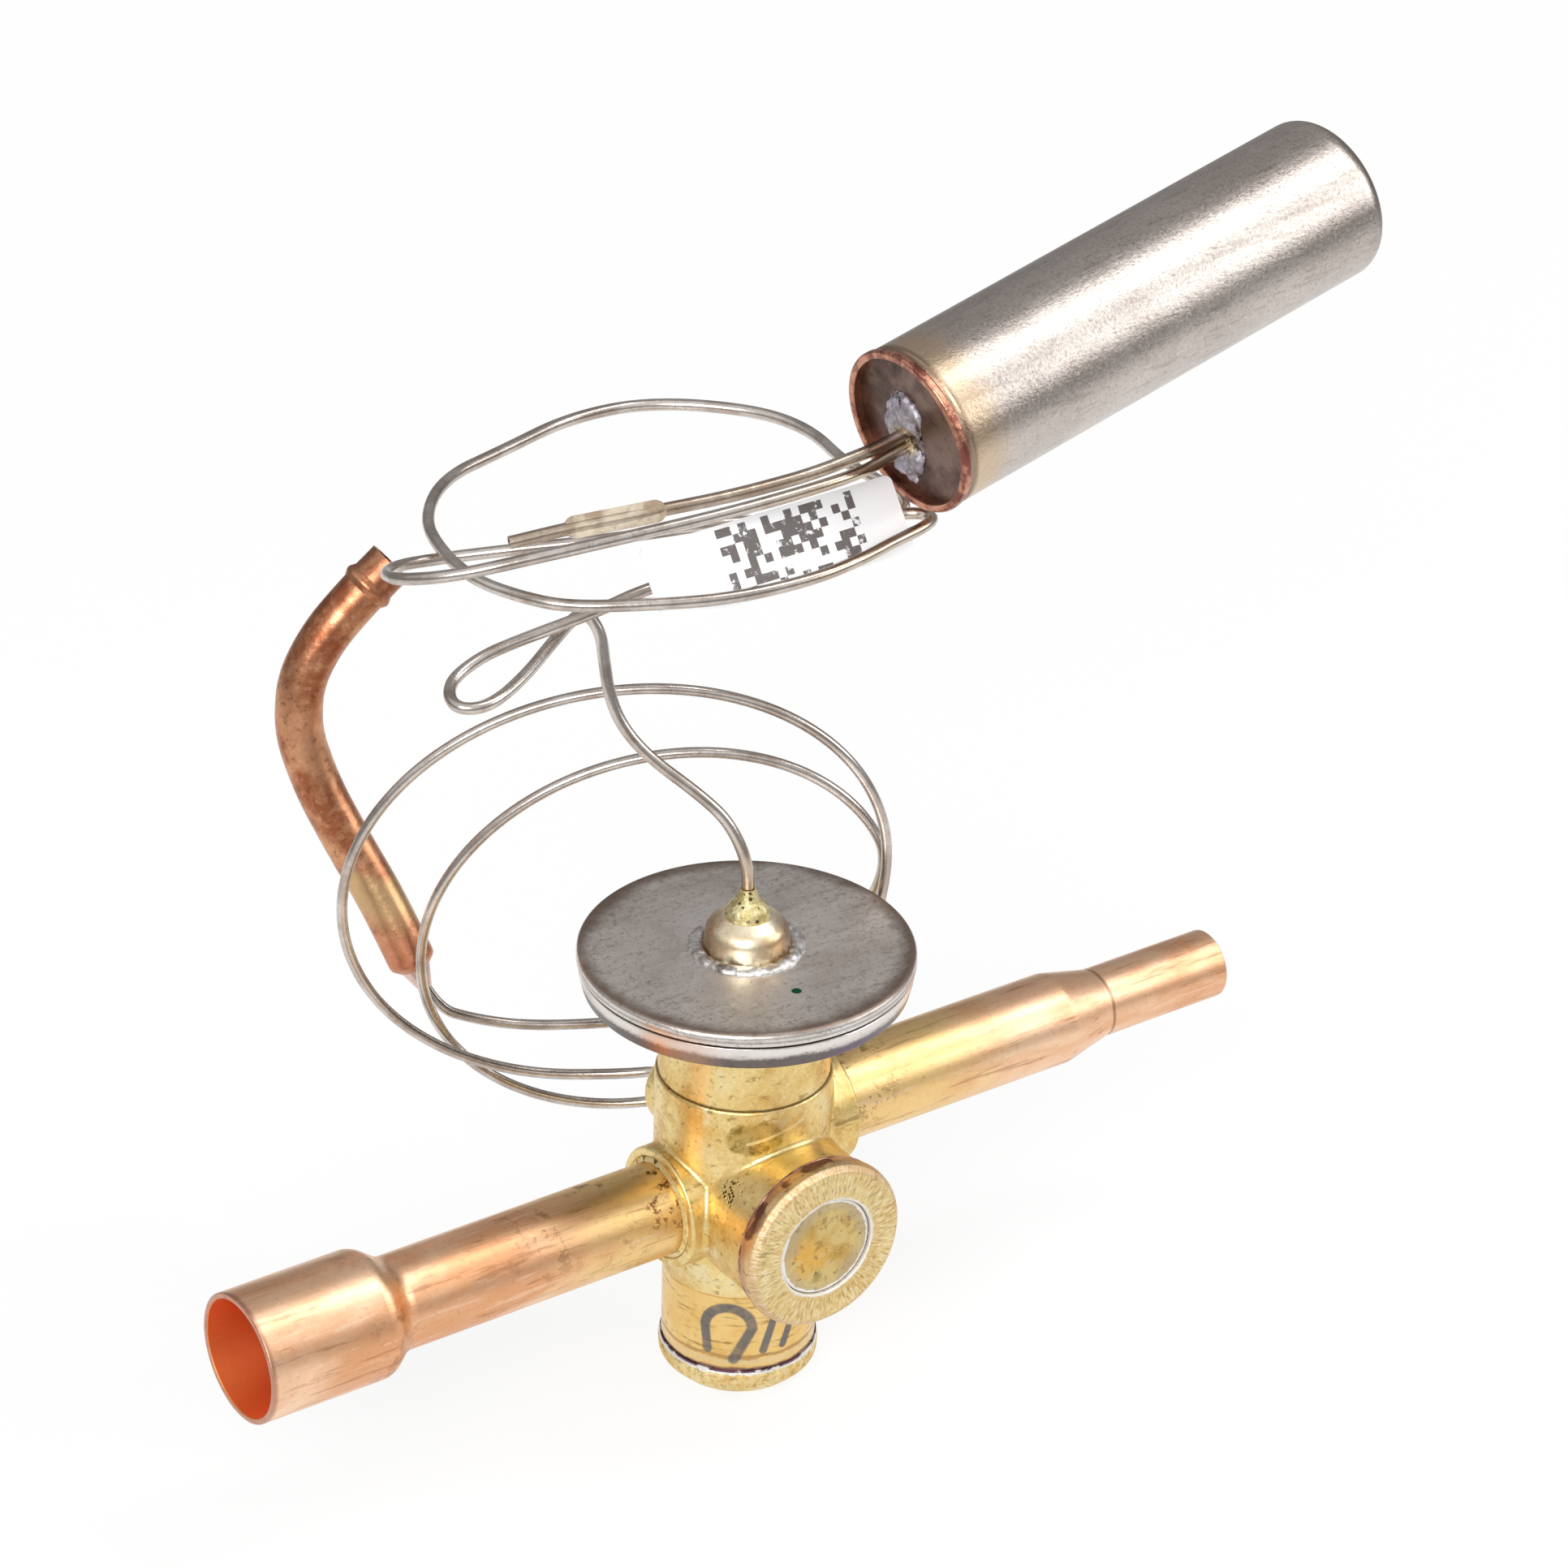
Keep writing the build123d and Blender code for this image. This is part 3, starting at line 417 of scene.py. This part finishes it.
# ---- Power head ----
# Two pressed steel shells, welded round their rim over the diaphragm. The top is worn grey with a
# brown edge, and heat has tinted the side orange at the front left and violet in front.
def paint_head(place):
    across, depth, up = (part / mm for part in place.parts())
    radius = (across * across + depth * depth).root()
    cloud = place.noise(80, 5, 0.65, 0.5)
    wipe = place.stretch((0, 0, 0.9), (0.10, 1, 1)).noise(700, 4, 0.7)
    fine = place.noise(1500, 4, 0.8)
    colour = cloud.step(0.35, 0.68).blend(tone(226, 220, 215), tone(206, 198, 191))
    colour = (wipe.step(0.50, 0.66) * 0.35).blend(colour, tone(242, 239, 236))
    colour = (wipe.step(0.46, 0.36) * 0.2).blend(colour, tone(140, 126, 116))
    colour = (fine.step(0.54, 0.66) * 0.45).blend(colour, tone(104, 90, 80))
    top = up.step(63.9, 64.3)
    brown = (radius + (cloud - 0.5) * 5).step(19.0, 21.9) * top
    colour = (brown * 0.8).blend(colour, tone(116, 92, 74))
    blots = place.noise(1100, 4, 0.8).step(0.52, 0.64) * radius.step(10.0, 19.0) * top
    colour = (blots * 0.4).blend(colour, tone(120, 96, 76))
    # a painted sheen: patches of the top round the dome are lighter
    dome_sheen = place.noise(620, 4, 0.8).step(0.50, 0.60) * radius.step(11.0, 8.0) * top
    colour = (dome_sheen * 0.5).blend(colour, tone(240, 238, 236))
    dot = place.distance(-1.0, -12.7, 64.4).step(0.75 * mm, 0.6 * mm)
    colour = dot.blend(colour, tone(16, 96, 66))
    # below the rim: the dark joint, a dark line painted as shade under the rolled edge, a painted highlight
    # band and painted shade on the lower edge, which heat has tinted violet in front
    side = up.step(63.6, 63.2)
    joint_and_rim_shade = (up - 62.35).size().step(0.30, 0.10).largest((up - 63.35).size().step(0.35, 0.10) * 0.6)
    highlight_band = (up - 61.7 + (fine - 0.5) * 0.5).size().step(0.7, 0.3)
    colour = (side * highlight_band * 0.7).blend(colour, tone(236, 230, 224))
    colour = (side * joint_and_rim_shade * 0.85).blend(colour, tone(70, 60, 54))
    shaded_lower_edge = (up + (cloud - 0.5) * 2.0 + (fine - 0.5) * 1.4).step(61.0, 60.2)
    colour = (shaded_lower_edge * 0.85).blend(colour, tone(70, 58, 53))
    warm = place.distance(-18.5, -11.5, 61.0).step(7.0 * mm, 2 * mm) * side
    colour = (warm * 0.35).blend(colour, tone(222, 166, 126))
    violet = place.distance(3, -21, 58.8).step(8 * mm, 2 * mm) * shaded_lower_edge
    colour = (violet * 0.35).blend(colour, tone(122, 104, 140))
    rough = 0.24 + fine * 0.14 + top * 0.12
    return colour, rough, wipe * 0.4 + fine * 0.5 + cloud * 0.4, 0.00006


head_steel = finish("pressed_steel", paint_head)
wear("upper_shell", head_steel)
wear("lower_shell", head_steel)


def paint_dome(place):
    across, depth = (part / mm for part in place.parts()[:2])
    cloud = place.noise(190, 4, 0.6)
    fine = place.noise(1400, 4, 0.8)
    colour = cloud.step(0.38, 0.62).blend(tone(246, 234, 206), tone(218, 184, 136))
    # painted shade: darker towards the dome's left and right edges as the camera sees it
    edge_shade = (across * 0.82 - depth * 0.57).size().step(2.6, 5.4)
    colour = (edge_shade * 0.6).blend(colour, tone(156, 130, 112))
    colour = (fine.step(0.56, 0.68) * 0.4).blend(colour, tone(120, 92, 66))
    return colour, 0.26 + cloud * 0.14, cloud + fine * 0.3, 0.00007


wear("head_dome", finish("warm_steel", paint_dome))


def select_none():
    bpy.ops.object.select_all(action="DESELECT")


def ruffle(piece, size, height):
    """Push a piece's skin in and out into cast lumps."""
    lumps = bpy.data.textures.new(piece.name, "CLOUDS")
    lumps.noise_scale = size * mm
    lumps.noise_depth = 2
    push = piece.modifiers.new("lumps", "DISPLACE")
    push.texture = lumps
    push.texture_coords = "LOCAL"
    push.strength = height * mm
    push.mid_level = 0.5
    bpy.ops.object.modifier_apply(modifier=push.name)


def lay_weld():
    """The weld round the dome: a flattened ring, cut off level with the shell."""
    select_none()
    bpy.ops.mesh.primitive_torus_add(major_segments=160, minor_segments=16, major_radius=6.7 * mm,
                                     minor_radius=1.05 * mm, location=(0, 0, 64.35 * mm))
    weld = bpy.context.object
    weld.name = "dome_weld_bead"
    bpy.ops.transform.resize(value=(1, 1, 0.62))
    bpy.ops.object.transform_apply()
    ruffle(weld, 1.1, 0.7)
    bpy.ops.object.mode_set(mode="EDIT")
    bpy.ops.mesh.select_all(action="SELECT")
    bpy.ops.mesh.bisect(plane_co=(0, 0, 64.4 * mm), plane_no=(0, 0, 1), use_fill=True, clear_inner=True)
    bpy.ops.object.mode_set(mode="OBJECT")
    bpy.ops.object.shade_smooth_by_angle(angle=radians(60))
    return weld


def paint_weld(place):
    lumps = place.noise(700, 5, 0.8)
    across, depth = (part / mm for part in place.parts()[:2])
    colour = lumps.step(0.40, 0.60).blend(tone(184, 180, 176), tone(238, 237, 236))
    soot = place.noise(300, 3).step(0.55, 0.66) * (across + depth).step(-3.0, -8.0)
    colour = (soot * 0.7).blend(colour, tone(96, 84, 78))
    return colour, 0.28 + lumps * 0.2, lumps, 0.00014


weld_bead = lay_weld()
weld_bead.data.materials.append(finish("weld_metal", paint_weld))
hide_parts("dome_weld")
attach(weld_bead, "valve")


def paint_solder(place):
    lumps = place.noise(520, 5, 0.8)
    pits = place.cells(1150).step(0.34, 0.20) * place.noise(600, 2).step(0.42, 0.52)
    colour = lumps.step(0.40, 0.60).blend(tone(186, 168, 112), tone(232, 222, 178))
    colour = (pits * 0.9).blend(colour, tone(62, 48, 30))
    return colour, 0.35 + lumps * 0.2, lumps - pits * 0.8, 0.00030


wear("dome_solder", finish("pale_solder", paint_solder))


# ---- Capillaries ----
# Thin steel tube, bent by hand: one runs from the dome to the bulb, and one from the equaliser
# boss to the stub. Each follows a smooth line through its bends.
def paint_capillary(place):
    across, depth, up = (part / mm for part in place.parts())
    cloud = place.noise(150, 4, 0.6)
    fine = place.noise(1600, 3, 0.7)
    colour = cloud.step(0.38, 0.64).blend(tone(212, 204, 197), tone(180, 168, 159))
    colour = (fine.step(0.56, 0.70) * 0.3).blend(colour, tone(110, 94, 84))
    low = up.step(84, 70) * (across * across + depth * depth).root().step(14, 6)
    colour = (low * 0.7).blend(colour, tone(190, 158, 112))
    by_bulb = place.distance(16, 2, 127.5).step(22 * mm, 6 * mm)
    colour = (by_bulb * 0.45).blend(colour, tone(206, 182, 142))
    return colour, 0.17 + cloud * 0.1, cloud + fine * 0.5, 0.00003


capillary_steel = finish("capillary_steel", paint_capillary)


def bent_tube(name, route, radius, material):
    """A tube with closed ends along a smooth line, made a mesh in its place."""
    line = bpy.data.curves.new(name, "CURVE")
    line.dimensions = "3D"
    spline = line.splines.new("NURBS")
    spline.points.add(len(route) - 1)
    for point, place in zip(spline.points, route):
        point.co = (*(Vector(place) * mm), 1)
    spline.order_u = 3
    spline.use_endpoint_u = True
    spline.resolution_u = 8
    line.bevel_depth = radius * mm
    line.bevel_resolution = 4
    line.use_fill_caps = True
    tube = bpy.data.objects.new(name, line)
    bpy.context.collection.objects.link(tube)
    select_none()
    bpy.context.view_layer.objects.active = tube
    tube.select_set(True)
    bpy.ops.object.convert(target="MESH")
    tube.data.materials.clear()
    tube.data.materials.append(material)
    bpy.ops.object.shade_smooth_by_angle(angle=radians(40))
    return tube


bulb_mouth = Vector((24.4, 2.42, 130.89))
bulb_way = Vector((0.98007, 0.08210, 0.18089)).normalized()
bulb_side = Vector((-0.08347, 0.99651, 0)).normalized()
bulb_rise = bulb_way.cross(bulb_side)


def in_bulb(side, rise, depth):
    """A place on the bulb's end plate, and a depth into the bulb."""
    return tuple(bulb_mouth + bulb_side * side + bulb_rise * rise + bulb_way * depth)


bulb_line = [
    (0, 0, 64.6), (0, 0, 71.5), (0, 0.2, 76.8), (-1.6, 2.3, 82.2), (-4.8, 4.6, 86.2),
    (-9.7, 8.8, 91.0), (-12.2, 11.2, 95.0), (-13.2, 12.8, 99.0), (-13.1, 14.2, 103.2), (-12.9, 15.4, 107.2),
    (-14.6, 16.9, 110.3), (-19.2, 15.1, 109.0), (-28.0, 10.2, 107.1), (-34.9, 7.6, 106.3),
    (-38.6, 9.6, 106.4), (-36.8, 13.9, 107.4), (-31.2, 15.2, 108.9), (-25.7, 14.6, 110.0),
    (-15.2, 12.4, 112.2), (-8.7, 11.7, 113.8), (9.6, 10.6, 114.7), (20.6, 8.9, 114.7), (27.4, 8.0, 114.9),
    (30.3, 9.3, 116.4), (29.2, 13.2, 117.8), (27.9, 20.3, 118), (29.7, 30.3, 118), (26.8, 39.1, 118),
    (16.3, 48.5, 118), (4.6, 50.1, 118), (-7.6, 46.7, 118), (-18.6, 44.1, 118), (-26.6, 35.7, 118),
    (-29.3, 27.0, 118), (-29.9, 18.4, 118), (-27.5, 11.8, 118), (-23.9, 6.3, 118), (-15.0, 1.4, 118),
    (-5.6, -2.7, 118), (5.7, -4.0, 118), (14.0, -2.9, 118), (20.4, -1.7, 118.5), (25.4, -0.9, 118.6),
    (28.4, 0.9, 118.5), (27.4, 4.0, 118.1), (23.2, 5.3, 118.0), (16.1, 7.3, 118.7), (3.9, 11.3, 120.1),
    (-9.5, 17.0, 118.8), (-20.5, 24.2, 117.1), (-28.4, 29.6, 115.6), (-34.5, 29.5, 116.4),
    (-39.2, 25.1, 118.4), (-40.5, 18.9, 120.8), (-36.5, 12.9, 122.9), (-28.1, 9.0, 124.6),
    (-15.1, 5.0, 126.1), (-2.5, 2.3, 127.0), (9.0, 1.1, 127.6), (17.4, 1.6, 127.6),
    in_bulb(1.78, -3.45, -1.6), in_bulb(1.78, -3.45, 2.4)]
bulb_tube_round = 0.8
bulb_capillary = bent_tube("bulb_capillary_tube", bulb_line, bulb_tube_round, capillary_steel)
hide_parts("bulb_capillary")
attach(bulb_capillary, "valve")

coil_heading = radians(28.5)


def on_turn(offset, centre, half_width, half_height, tilt, angle):
    """A point on one oval turn of the equaliser coil, by its angle from the oval's own axis."""
    along = half_width * cos(radians(angle))
    up = half_height * sin(radians(angle))
    side = centre[0] + along * cos(radians(tilt)) - up * sin(radians(tilt))
    height = centre[1] + along * sin(radians(tilt)) + up * cos(radians(tilt))
    return (side * cos(coil_heading), offset - side * sin(coil_heading), height)


stub_foot = Vector((-26.0, 41.3, 50.6))
stub_next = Vector((-27.7, 45.3, 57.6))
stub_down = (stub_foot - stub_next).normalized()
equaliser_line = [(0, 10.6, 36.2), (0, 17.0, 36.2)]
equaliser_line += [on_turn(19.0, (-6.6, 64.2), 36.7, 29.4, 11.9, angle) for angle in range(262, -23, -20)]
equaliser_line += [(22.4, 7.6, 45.0), (12.5, 13.5, 33.0)]
equaliser_line += [on_turn(22.0, (0.7, 55.3), 32.5, 26.6, 20.7, angle) for angle in range(254, -23, -20)]
equaliser_line += [(24.0, 12.4, 50.5), (17.0, 17.0, 43.5), (6.5, 22.4, 39.9), (-4.4, 27.4, 39.4),
                   (-13.5, 32.3, 39.6), (-19.4, 35.5, 41.0), tuple(stub_foot + stub_down * 8.4),
                   tuple(stub_foot + stub_down * 3.0)]
equaliser_tube_round = 0.72
equaliser = bent_tube("equaliser_tube", equaliser_line, equaliser_tube_round, capillary_steel)
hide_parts("equaliser_capillary")
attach(equaliser, "valve")
wear("equaliser_braze", silver_braze)


# ---- Equaliser stub ----
# A bent piece of quarter-inch copper with a rolled bead by its mouth. It is tarnished brown-red,
# brassy at the foot, and soldered to the capillary in a silver-pink cone.
def paint_stub(place):
    up = place.parts()[2] / mm
    cloud = place.noise(120, 5, 0.65, 0.5)
    fine = place.noise(900, 4, 0.75)
    colour = cloud.step(0.36, 0.64).blend(tone(212, 156, 118), tone(160, 96, 66))
    colour = (fine.step(0.53, 0.68) * 0.5).blend(colour, tone(96, 54, 38))
    colour = (fine.step(0.46, 0.34) * 0.3).blend(colour, tone(232, 186, 152))
    brassy = (up - 58.5 + (cloud - 0.5) * 12).size().step(4.5, 1.5)
    colour = (brassy * 0.6).blend(colour, tone(206, 180, 132))
    foot = up.step(54.2, 53.2)
    colour = (foot * 0.5).blend(colour, tone(206, 136, 104))
    mouth = place.distance(-20.0, 54.5, 101.6).step(7 * mm, 2 * mm)
    colour = (mouth * 0.45).blend(colour, tone(122, 76, 60))
    return colour, 0.27 + cloud * 0.16, cloud * 0.6 + fine * 0.5, 0.00009


wear("equaliser_stub", finish("tarnished_copper", paint_stub))


def paint_cone(place):
    cloud = place.noise(350, 4)
    colour = cloud.step(0.4, 0.65).blend(tone(226, 196, 186), tone(176, 148, 140))
    return colour, 0.26 + cloud * 0.15, cloud, 0.0001


wear("stub_solder", finish("pink_solder", paint_cone))


# ---- Sensing bulb ----
# A drawn steel can with a pressed-in end plate. Heat from brazing the plate has run straw, copper
# and violet back from the rim.
def paint_bulb(place):
    offset = place.add("VectorMath", settings={"operation": "SUBTRACT"}, _0=place,
                       _1=tuple(bulb_mouth * mm))
    along = offset.add("VectorMath", 1, {"operation": "DOT_PRODUCT"}, _0=offset, _1=tuple(bulb_way)) / mm
    cloud = place.noise(75, 5, 0.6, 0.3)
    grain = place.noise(2100, 4, 0.8)
    drawn = place.stretch((0, 0.18, -0.08), (0.06, 1, 1)).noise(800, 3, 0.7)
    colour = cloud.step(0.36, 0.66).blend(tone(206, 197, 190), tone(192, 182, 175))
    colour = (grain.step(0.53, 0.66) * 0.4).blend(colour, tone(226, 220, 216))
    colour = (grain.step(0.47, 0.36) * 0.45).blend(colour, tone(126, 114, 106))
    colour = (drawn.step(0.55, 0.66) * 0.25).blend(colour, tone(128, 116, 108))
    ragged = along + (cloud - 0.5) * 7
    colour = (ragged.step(10, 3.5) * 0.6).blend(colour, tone(214, 182, 140))
    groove = (along - 1.7).size().step(1.1, 0.3)
    colour = (groove * 0.6).blend(colour, tone(112, 84, 66))
    rim = along.step(1.5, 1.1)
    stain = place.noise(260, 4, 0.7)
    colour = rim.blend(colour, stain.step(0.42, 0.60).blend(tone(206, 150, 124), tone(134, 80, 70)))
    far = along.step(72.0, 73.6)
    colour = (far * 0.65).blend(colour, tone(126, 100, 84))
    return colour, 0.15 + grain * 0.18, grain * 0.9 + drawn * 0.3, 0.00006


wear("bulb_shell", finish("drawn_steel", paint_bulb))


def paint_plate(place):
    cloud = place.noise(170, 4, 0.6)
    fine = place.noise(900, 3, 0.7)
    colour = cloud.step(0.35, 0.65).blend(tone(134, 112, 100), tone(86, 68, 62))
    colour = (fine.step(0.56, 0.68) * 0.4).blend(colour, tone(56, 42, 38))
    return colour, 0.30 + cloud * 0.15, cloud + fine * 0.4, 0.00008


wear("bulb_end_plate", finish("dark_plate", paint_plate))


def paint_patch(place):
    lumps = place.noise(480, 5, 0.75)
    middle = place.distance(*in_bulb(1.9, -2.5, 1)).step(3.0 * mm, 1.2 * mm)
    pits = place.cells(1300).step(0.34, 0.22) * middle
    colour = lumps.step(0.38, 0.62).blend(tone(152, 146, 152), tone(206, 202, 212))
    colour = (middle * 0.75).blend(colour, tone(196, 178, 138))
    colour = (pits * 0.8).blend(colour, tone(92, 76, 44))
    return colour, 0.42 + lumps * 0.2, lumps - pits * 0.6, 0.0002


def lay_patch():
    """Solder run over the end plate round both tubes: a flat lump, cut off level with the plate."""
    select_none()
    bpy.ops.mesh.primitive_uv_sphere_add(segments=128, ring_count=64, radius=1 * mm, location=(0, 0, 0))
    patch = bpy.context.object
    patch.name = "bulb_solder_patch"
    patch.scale = (3.5, 6.8, 0.62)
    bpy.ops.object.transform_apply()
    ruffle(patch, 3.2, 2.6)
    ruffle(patch, 0.7, 0.30)
    bpy.ops.object.mode_set(mode="EDIT")
    bpy.ops.mesh.select_all(action="SELECT")
    bpy.ops.mesh.bisect(plane_co=(0, 0, 0), plane_no=(0, 0, 1), use_fill=True, clear_outer=True)
    bpy.ops.object.mode_set(mode="OBJECT")
    bpy.ops.object.shade_smooth_by_angle(angle=radians(60))
    middle = Vector(in_bulb(1.9, -2.0, 1.4)) * mm
    patch.matrix_world = Matrix.Translation(middle) @ Matrix(
        (bulb_side, bulb_rise, bulb_way)).transposed().to_4x4()
    bpy.ops.object.transform_apply()
    return patch


bulb_patch = lay_patch()
bulb_patch.data.materials.append(finish("rough_solder", paint_patch))
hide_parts("bulb_solder")
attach(bulb_patch, "valve")


def paint_charging(place):
    cloud = place.noise(170, 4, 0.6)
    fine = place.noise(1300, 3, 0.7)
    pinch = place.distance(-14.2, 10.2, 125.9).step(9 * mm, 5 * mm)
    colour = cloud.step(0.38, 0.64).blend(tone(206, 194, 178), tone(170, 152, 136))
    scorched = cloud.step(0.40, 0.60).blend(tone(206, 194, 170), tone(150, 128, 100))
    colour = (pinch * 0.5).blend(colour, scorched)
    colour = (fine.step(0.56, 0.68) * 0.35).blend(colour, tone(124, 104, 84))
    return colour, 0.20 + cloud * 0.14 + pinch * 0.12, cloud + fine * 0.4, 0.00005


wear("charging_stub", finish("straw_steel", paint_charging))


# ---- Film label ----
# A printed film flag between the strands by the bulb. Its print is a plain block pattern that
# spells nothing.
label_middle = Vector((6.0, 3.81, 118.68))
label_lean = (0.594, 0.805)         # the sheet's short way, in Y and Z
block = 1.16                        # side of one printed block


def paint_label(place):
    across, depth, up = (part / mm for part in place.parts())
    along = across - label_middle.x
    wide = (depth - label_middle.y) * label_lean[0] + (up - label_middle.z) * label_lean[1]
    column = (along / block).maths("FLOOR", along / block)
    row = (wide / block).maths("FLOOR", wide / block)
    coin = place.add("TexWhiteNoise", 0, {"noise_dimensions": "2D"},
                     Vector=place.add("CombineXYZ", X=column, Y=row, Z=0.0))
    inked = coin.step(0.50, 0.505) * along.step(-8.13, -8.12) * along.step(12.76, 12.75)
    inked = inked * wide.size().step(4.65, 4.6)
    film = place.noise(60, 2).step(0.3, 0.8).blend(tone(250, 250, 251), tone(240, 240, 243))
    worn = place.noise(700, 4, 0.75).step(0.66, 0.56)
    return (inked * worn * 0.92).blend(film, tone(72, 62, 58)), 0.42 + place.noise(200, 2) * 0.1, None, 0


wear("capillary_label", finish("label_film", paint_label, metallic=0.0))


# ---- Inside pieces ----
# The spring, pin, rod, packing and check valve are seen only in a cut, but each has its own clean
# machined finish.
def paint_steel(place):
    cloud = place.noise(200, 3)
    fine = place.noise(1500, 3, 0.7)
    colour = cloud.step(0.35, 0.7).blend(tone(206, 204, 202), tone(184, 182, 180))
    colour = (fine.step(0.56, 0.68) * 0.25).blend(colour, tone(140, 138, 136))
    return colour, 0.25 + cloud * 0.1, cloud + fine * 0.3, 0.00003


clean_steel = finish("clean_steel", paint_steel)
for inner in ("valve_pin", "seat_insert", "push_rod", "buffer_plate", "diaphragm", "check_ball"):
    wear(inner, clean_steel)

# the spring is wound anew, with a mesh of its own
spring_foot, spring_head = (Vector(corner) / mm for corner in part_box("superheat_spring"))
spring_wire = 0.7
spring_turns = 4.5
spring_round = (spring_head.x - spring_foot.x) / 2 - spring_wire
steps_per_turn = 18
spring_steps = round(spring_turns * steps_per_turn)
spring_step = 360 / steps_per_turn
spring_climb = (spring_head.z - spring_foot.z - 2 * spring_wire) / spring_steps
spring_line = [(spring_round * cos(radians(spring_step * step)),
                spring_round * sin(radians(spring_step * step)),
                spring_foot.z + spring_wire + spring_climb * step) for step in range(spring_steps + 1)]
spring = bent_tube("superheat_coil", spring_line, spring_wire, clean_steel)
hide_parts("superheat_spring")
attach(spring, "valve")
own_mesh(spring)


def paint_clean_brass(place):
    colour, rough, relief = paint_forging(place, 0.2, 0.1)
    return colour, rough, relief, 0.00003


clean_brass = finish("clean_brass", paint_clean_brass)
for inner in ("adjusting_nut", "pin_carrier", "packing_retainer", "check_seat", "check_cage"):
    wear(inner, clean_brass)


def paint_packing(place):
    cloud = place.noise(400, 3)
    return cloud.step(0.35, 0.7).blend(tone(236, 235, 230), tone(222, 221, 216)), 0.5 + cloud * 0.1, None, 0


wear("rod_packing", finish("packing_ring", paint_packing, metallic=0.0))


# ---- Floor, background and lamps ----
# A plain pale floor on white. Metal sees a surround that is grey at the horizon and behind the
# valve, so that round forms show. A big soft key lamp stands at the front left, a fill at the
# front right and a narrow strip above.
def light_rays(start):
    """1 for rays from the camera, and 1 for rays off metal or through glass."""
    seen = start.add("LightPath", 0)
    mirrored = start.add("LightPath", 3).largest(start.add("LightPath", 6))
    return seen, mirrored


bpy.ops.mesh.primitive_plane_add(size=6, location=(0, 0, -0.0005))
floor = bpy.context.object
floor.name = "studio_floor"
mirrored_floor = 0.30               # how bright metal sees the far floor
floor_material = bpy.data.materials.new("studio_floor")
floor_material.use_nodes = True
tree = floor_material.node_tree
tree.nodes.clear()
start = Shade(tree)
plain = start.add("BsdfPrincipled", Base_Color=(0.94, 0.94, 0.94, 1), Roughness=0.8)
white = start.add("Emission", Color=(1, 1, 1, 1), Strength=1.0)
dim = start.add("Emission", Color=(1, 1, 1, 1), Strength=mirrored_floor)
seen, mirrored = light_rays(start)
away = start.add("TexCoord", 3).distance(0, 0, 0).step(0.22, 0.75)
near = start.add("MixShader", _0=seen.largest(mirrored) * (away * 0.16 + 0.84), _1=plain, _2=white)
mixed = start.add("MixShader", _0=mirrored * away, _1=near, _2=dim)
start.add("OutputMaterial", Surface=mixed)
floor.data.materials.append(floor_material)

ambient_light = 0.62
horizon_grey = (0.34, 0.33, 0.33)
overhead_white = (0.88, 0.88, 0.88)
behind_grey = (0.30, 0.29, 0.29)
away_from_camera = (0.58, 0.81)     # in X and Y
world = bpy.data.worlds.new("studio")
bpy.context.scene.world = world
world.use_nodes = True
tree = world.node_tree
tree.nodes.clear()
start = Shade(tree)
seen, mirrored = light_rays(start)
across, depth, up = start.add("TexCoord", 0).parts()
surround = up.size().step(0.10, 0.62).blend(horizon_grey, overhead_white)
behind = (across * away_from_camera[0] + depth * away_from_camera[1]).step(0.12, 0.40) * 0.85
surround = behind.blend(surround, behind_grey)
ambient = start.add("Background", Color=(1, 1, 1, 1), Strength=ambient_light)
around = start.add("Background", Color=surround, Strength=1.0)
backdrop = start.add("Background", Color=(1, 1, 1, 1), Strength=1.0)
both = start.add("MixShader", _0=mirrored, _1=ambient, _2=around)
everything = start.add("MixShader", _0=seen, _1=both, _2=backdrop)
start.add("OutputWorld", Surface=everything)


def lamp(name, place, aim, size, power):
    data = bpy.data.lights.new(name, "AREA")
    data.shape = "RECTANGLE"
    data.size, data.size_y = size
    data.energy = power
    lamp_object = bpy.data.objects.new(name, data)
    bpy.context.collection.objects.link(lamp_object)
    lamp_object.location = place
    lamp_object.rotation_euler = (Vector(aim) - Vector(place)).to_track_quat("-Z", "Y").to_euler()


lamp("key_lamp", (-0.8, -0.7, 0.75), (0, 0, 0.07), (0.7, 0.5), 10)
lamp("fill_lamp", (0.8, -0.55, 0.5), (0, 0, 0.07), (0.6, 0.4), 2.6)
lamp("top_lamp", (0.46, -0.22, 1.0), (0, 0, 0.10), (0.18, 0.6), 2.2)

bpy.context.scene.view_settings.view_transform = "Standard"
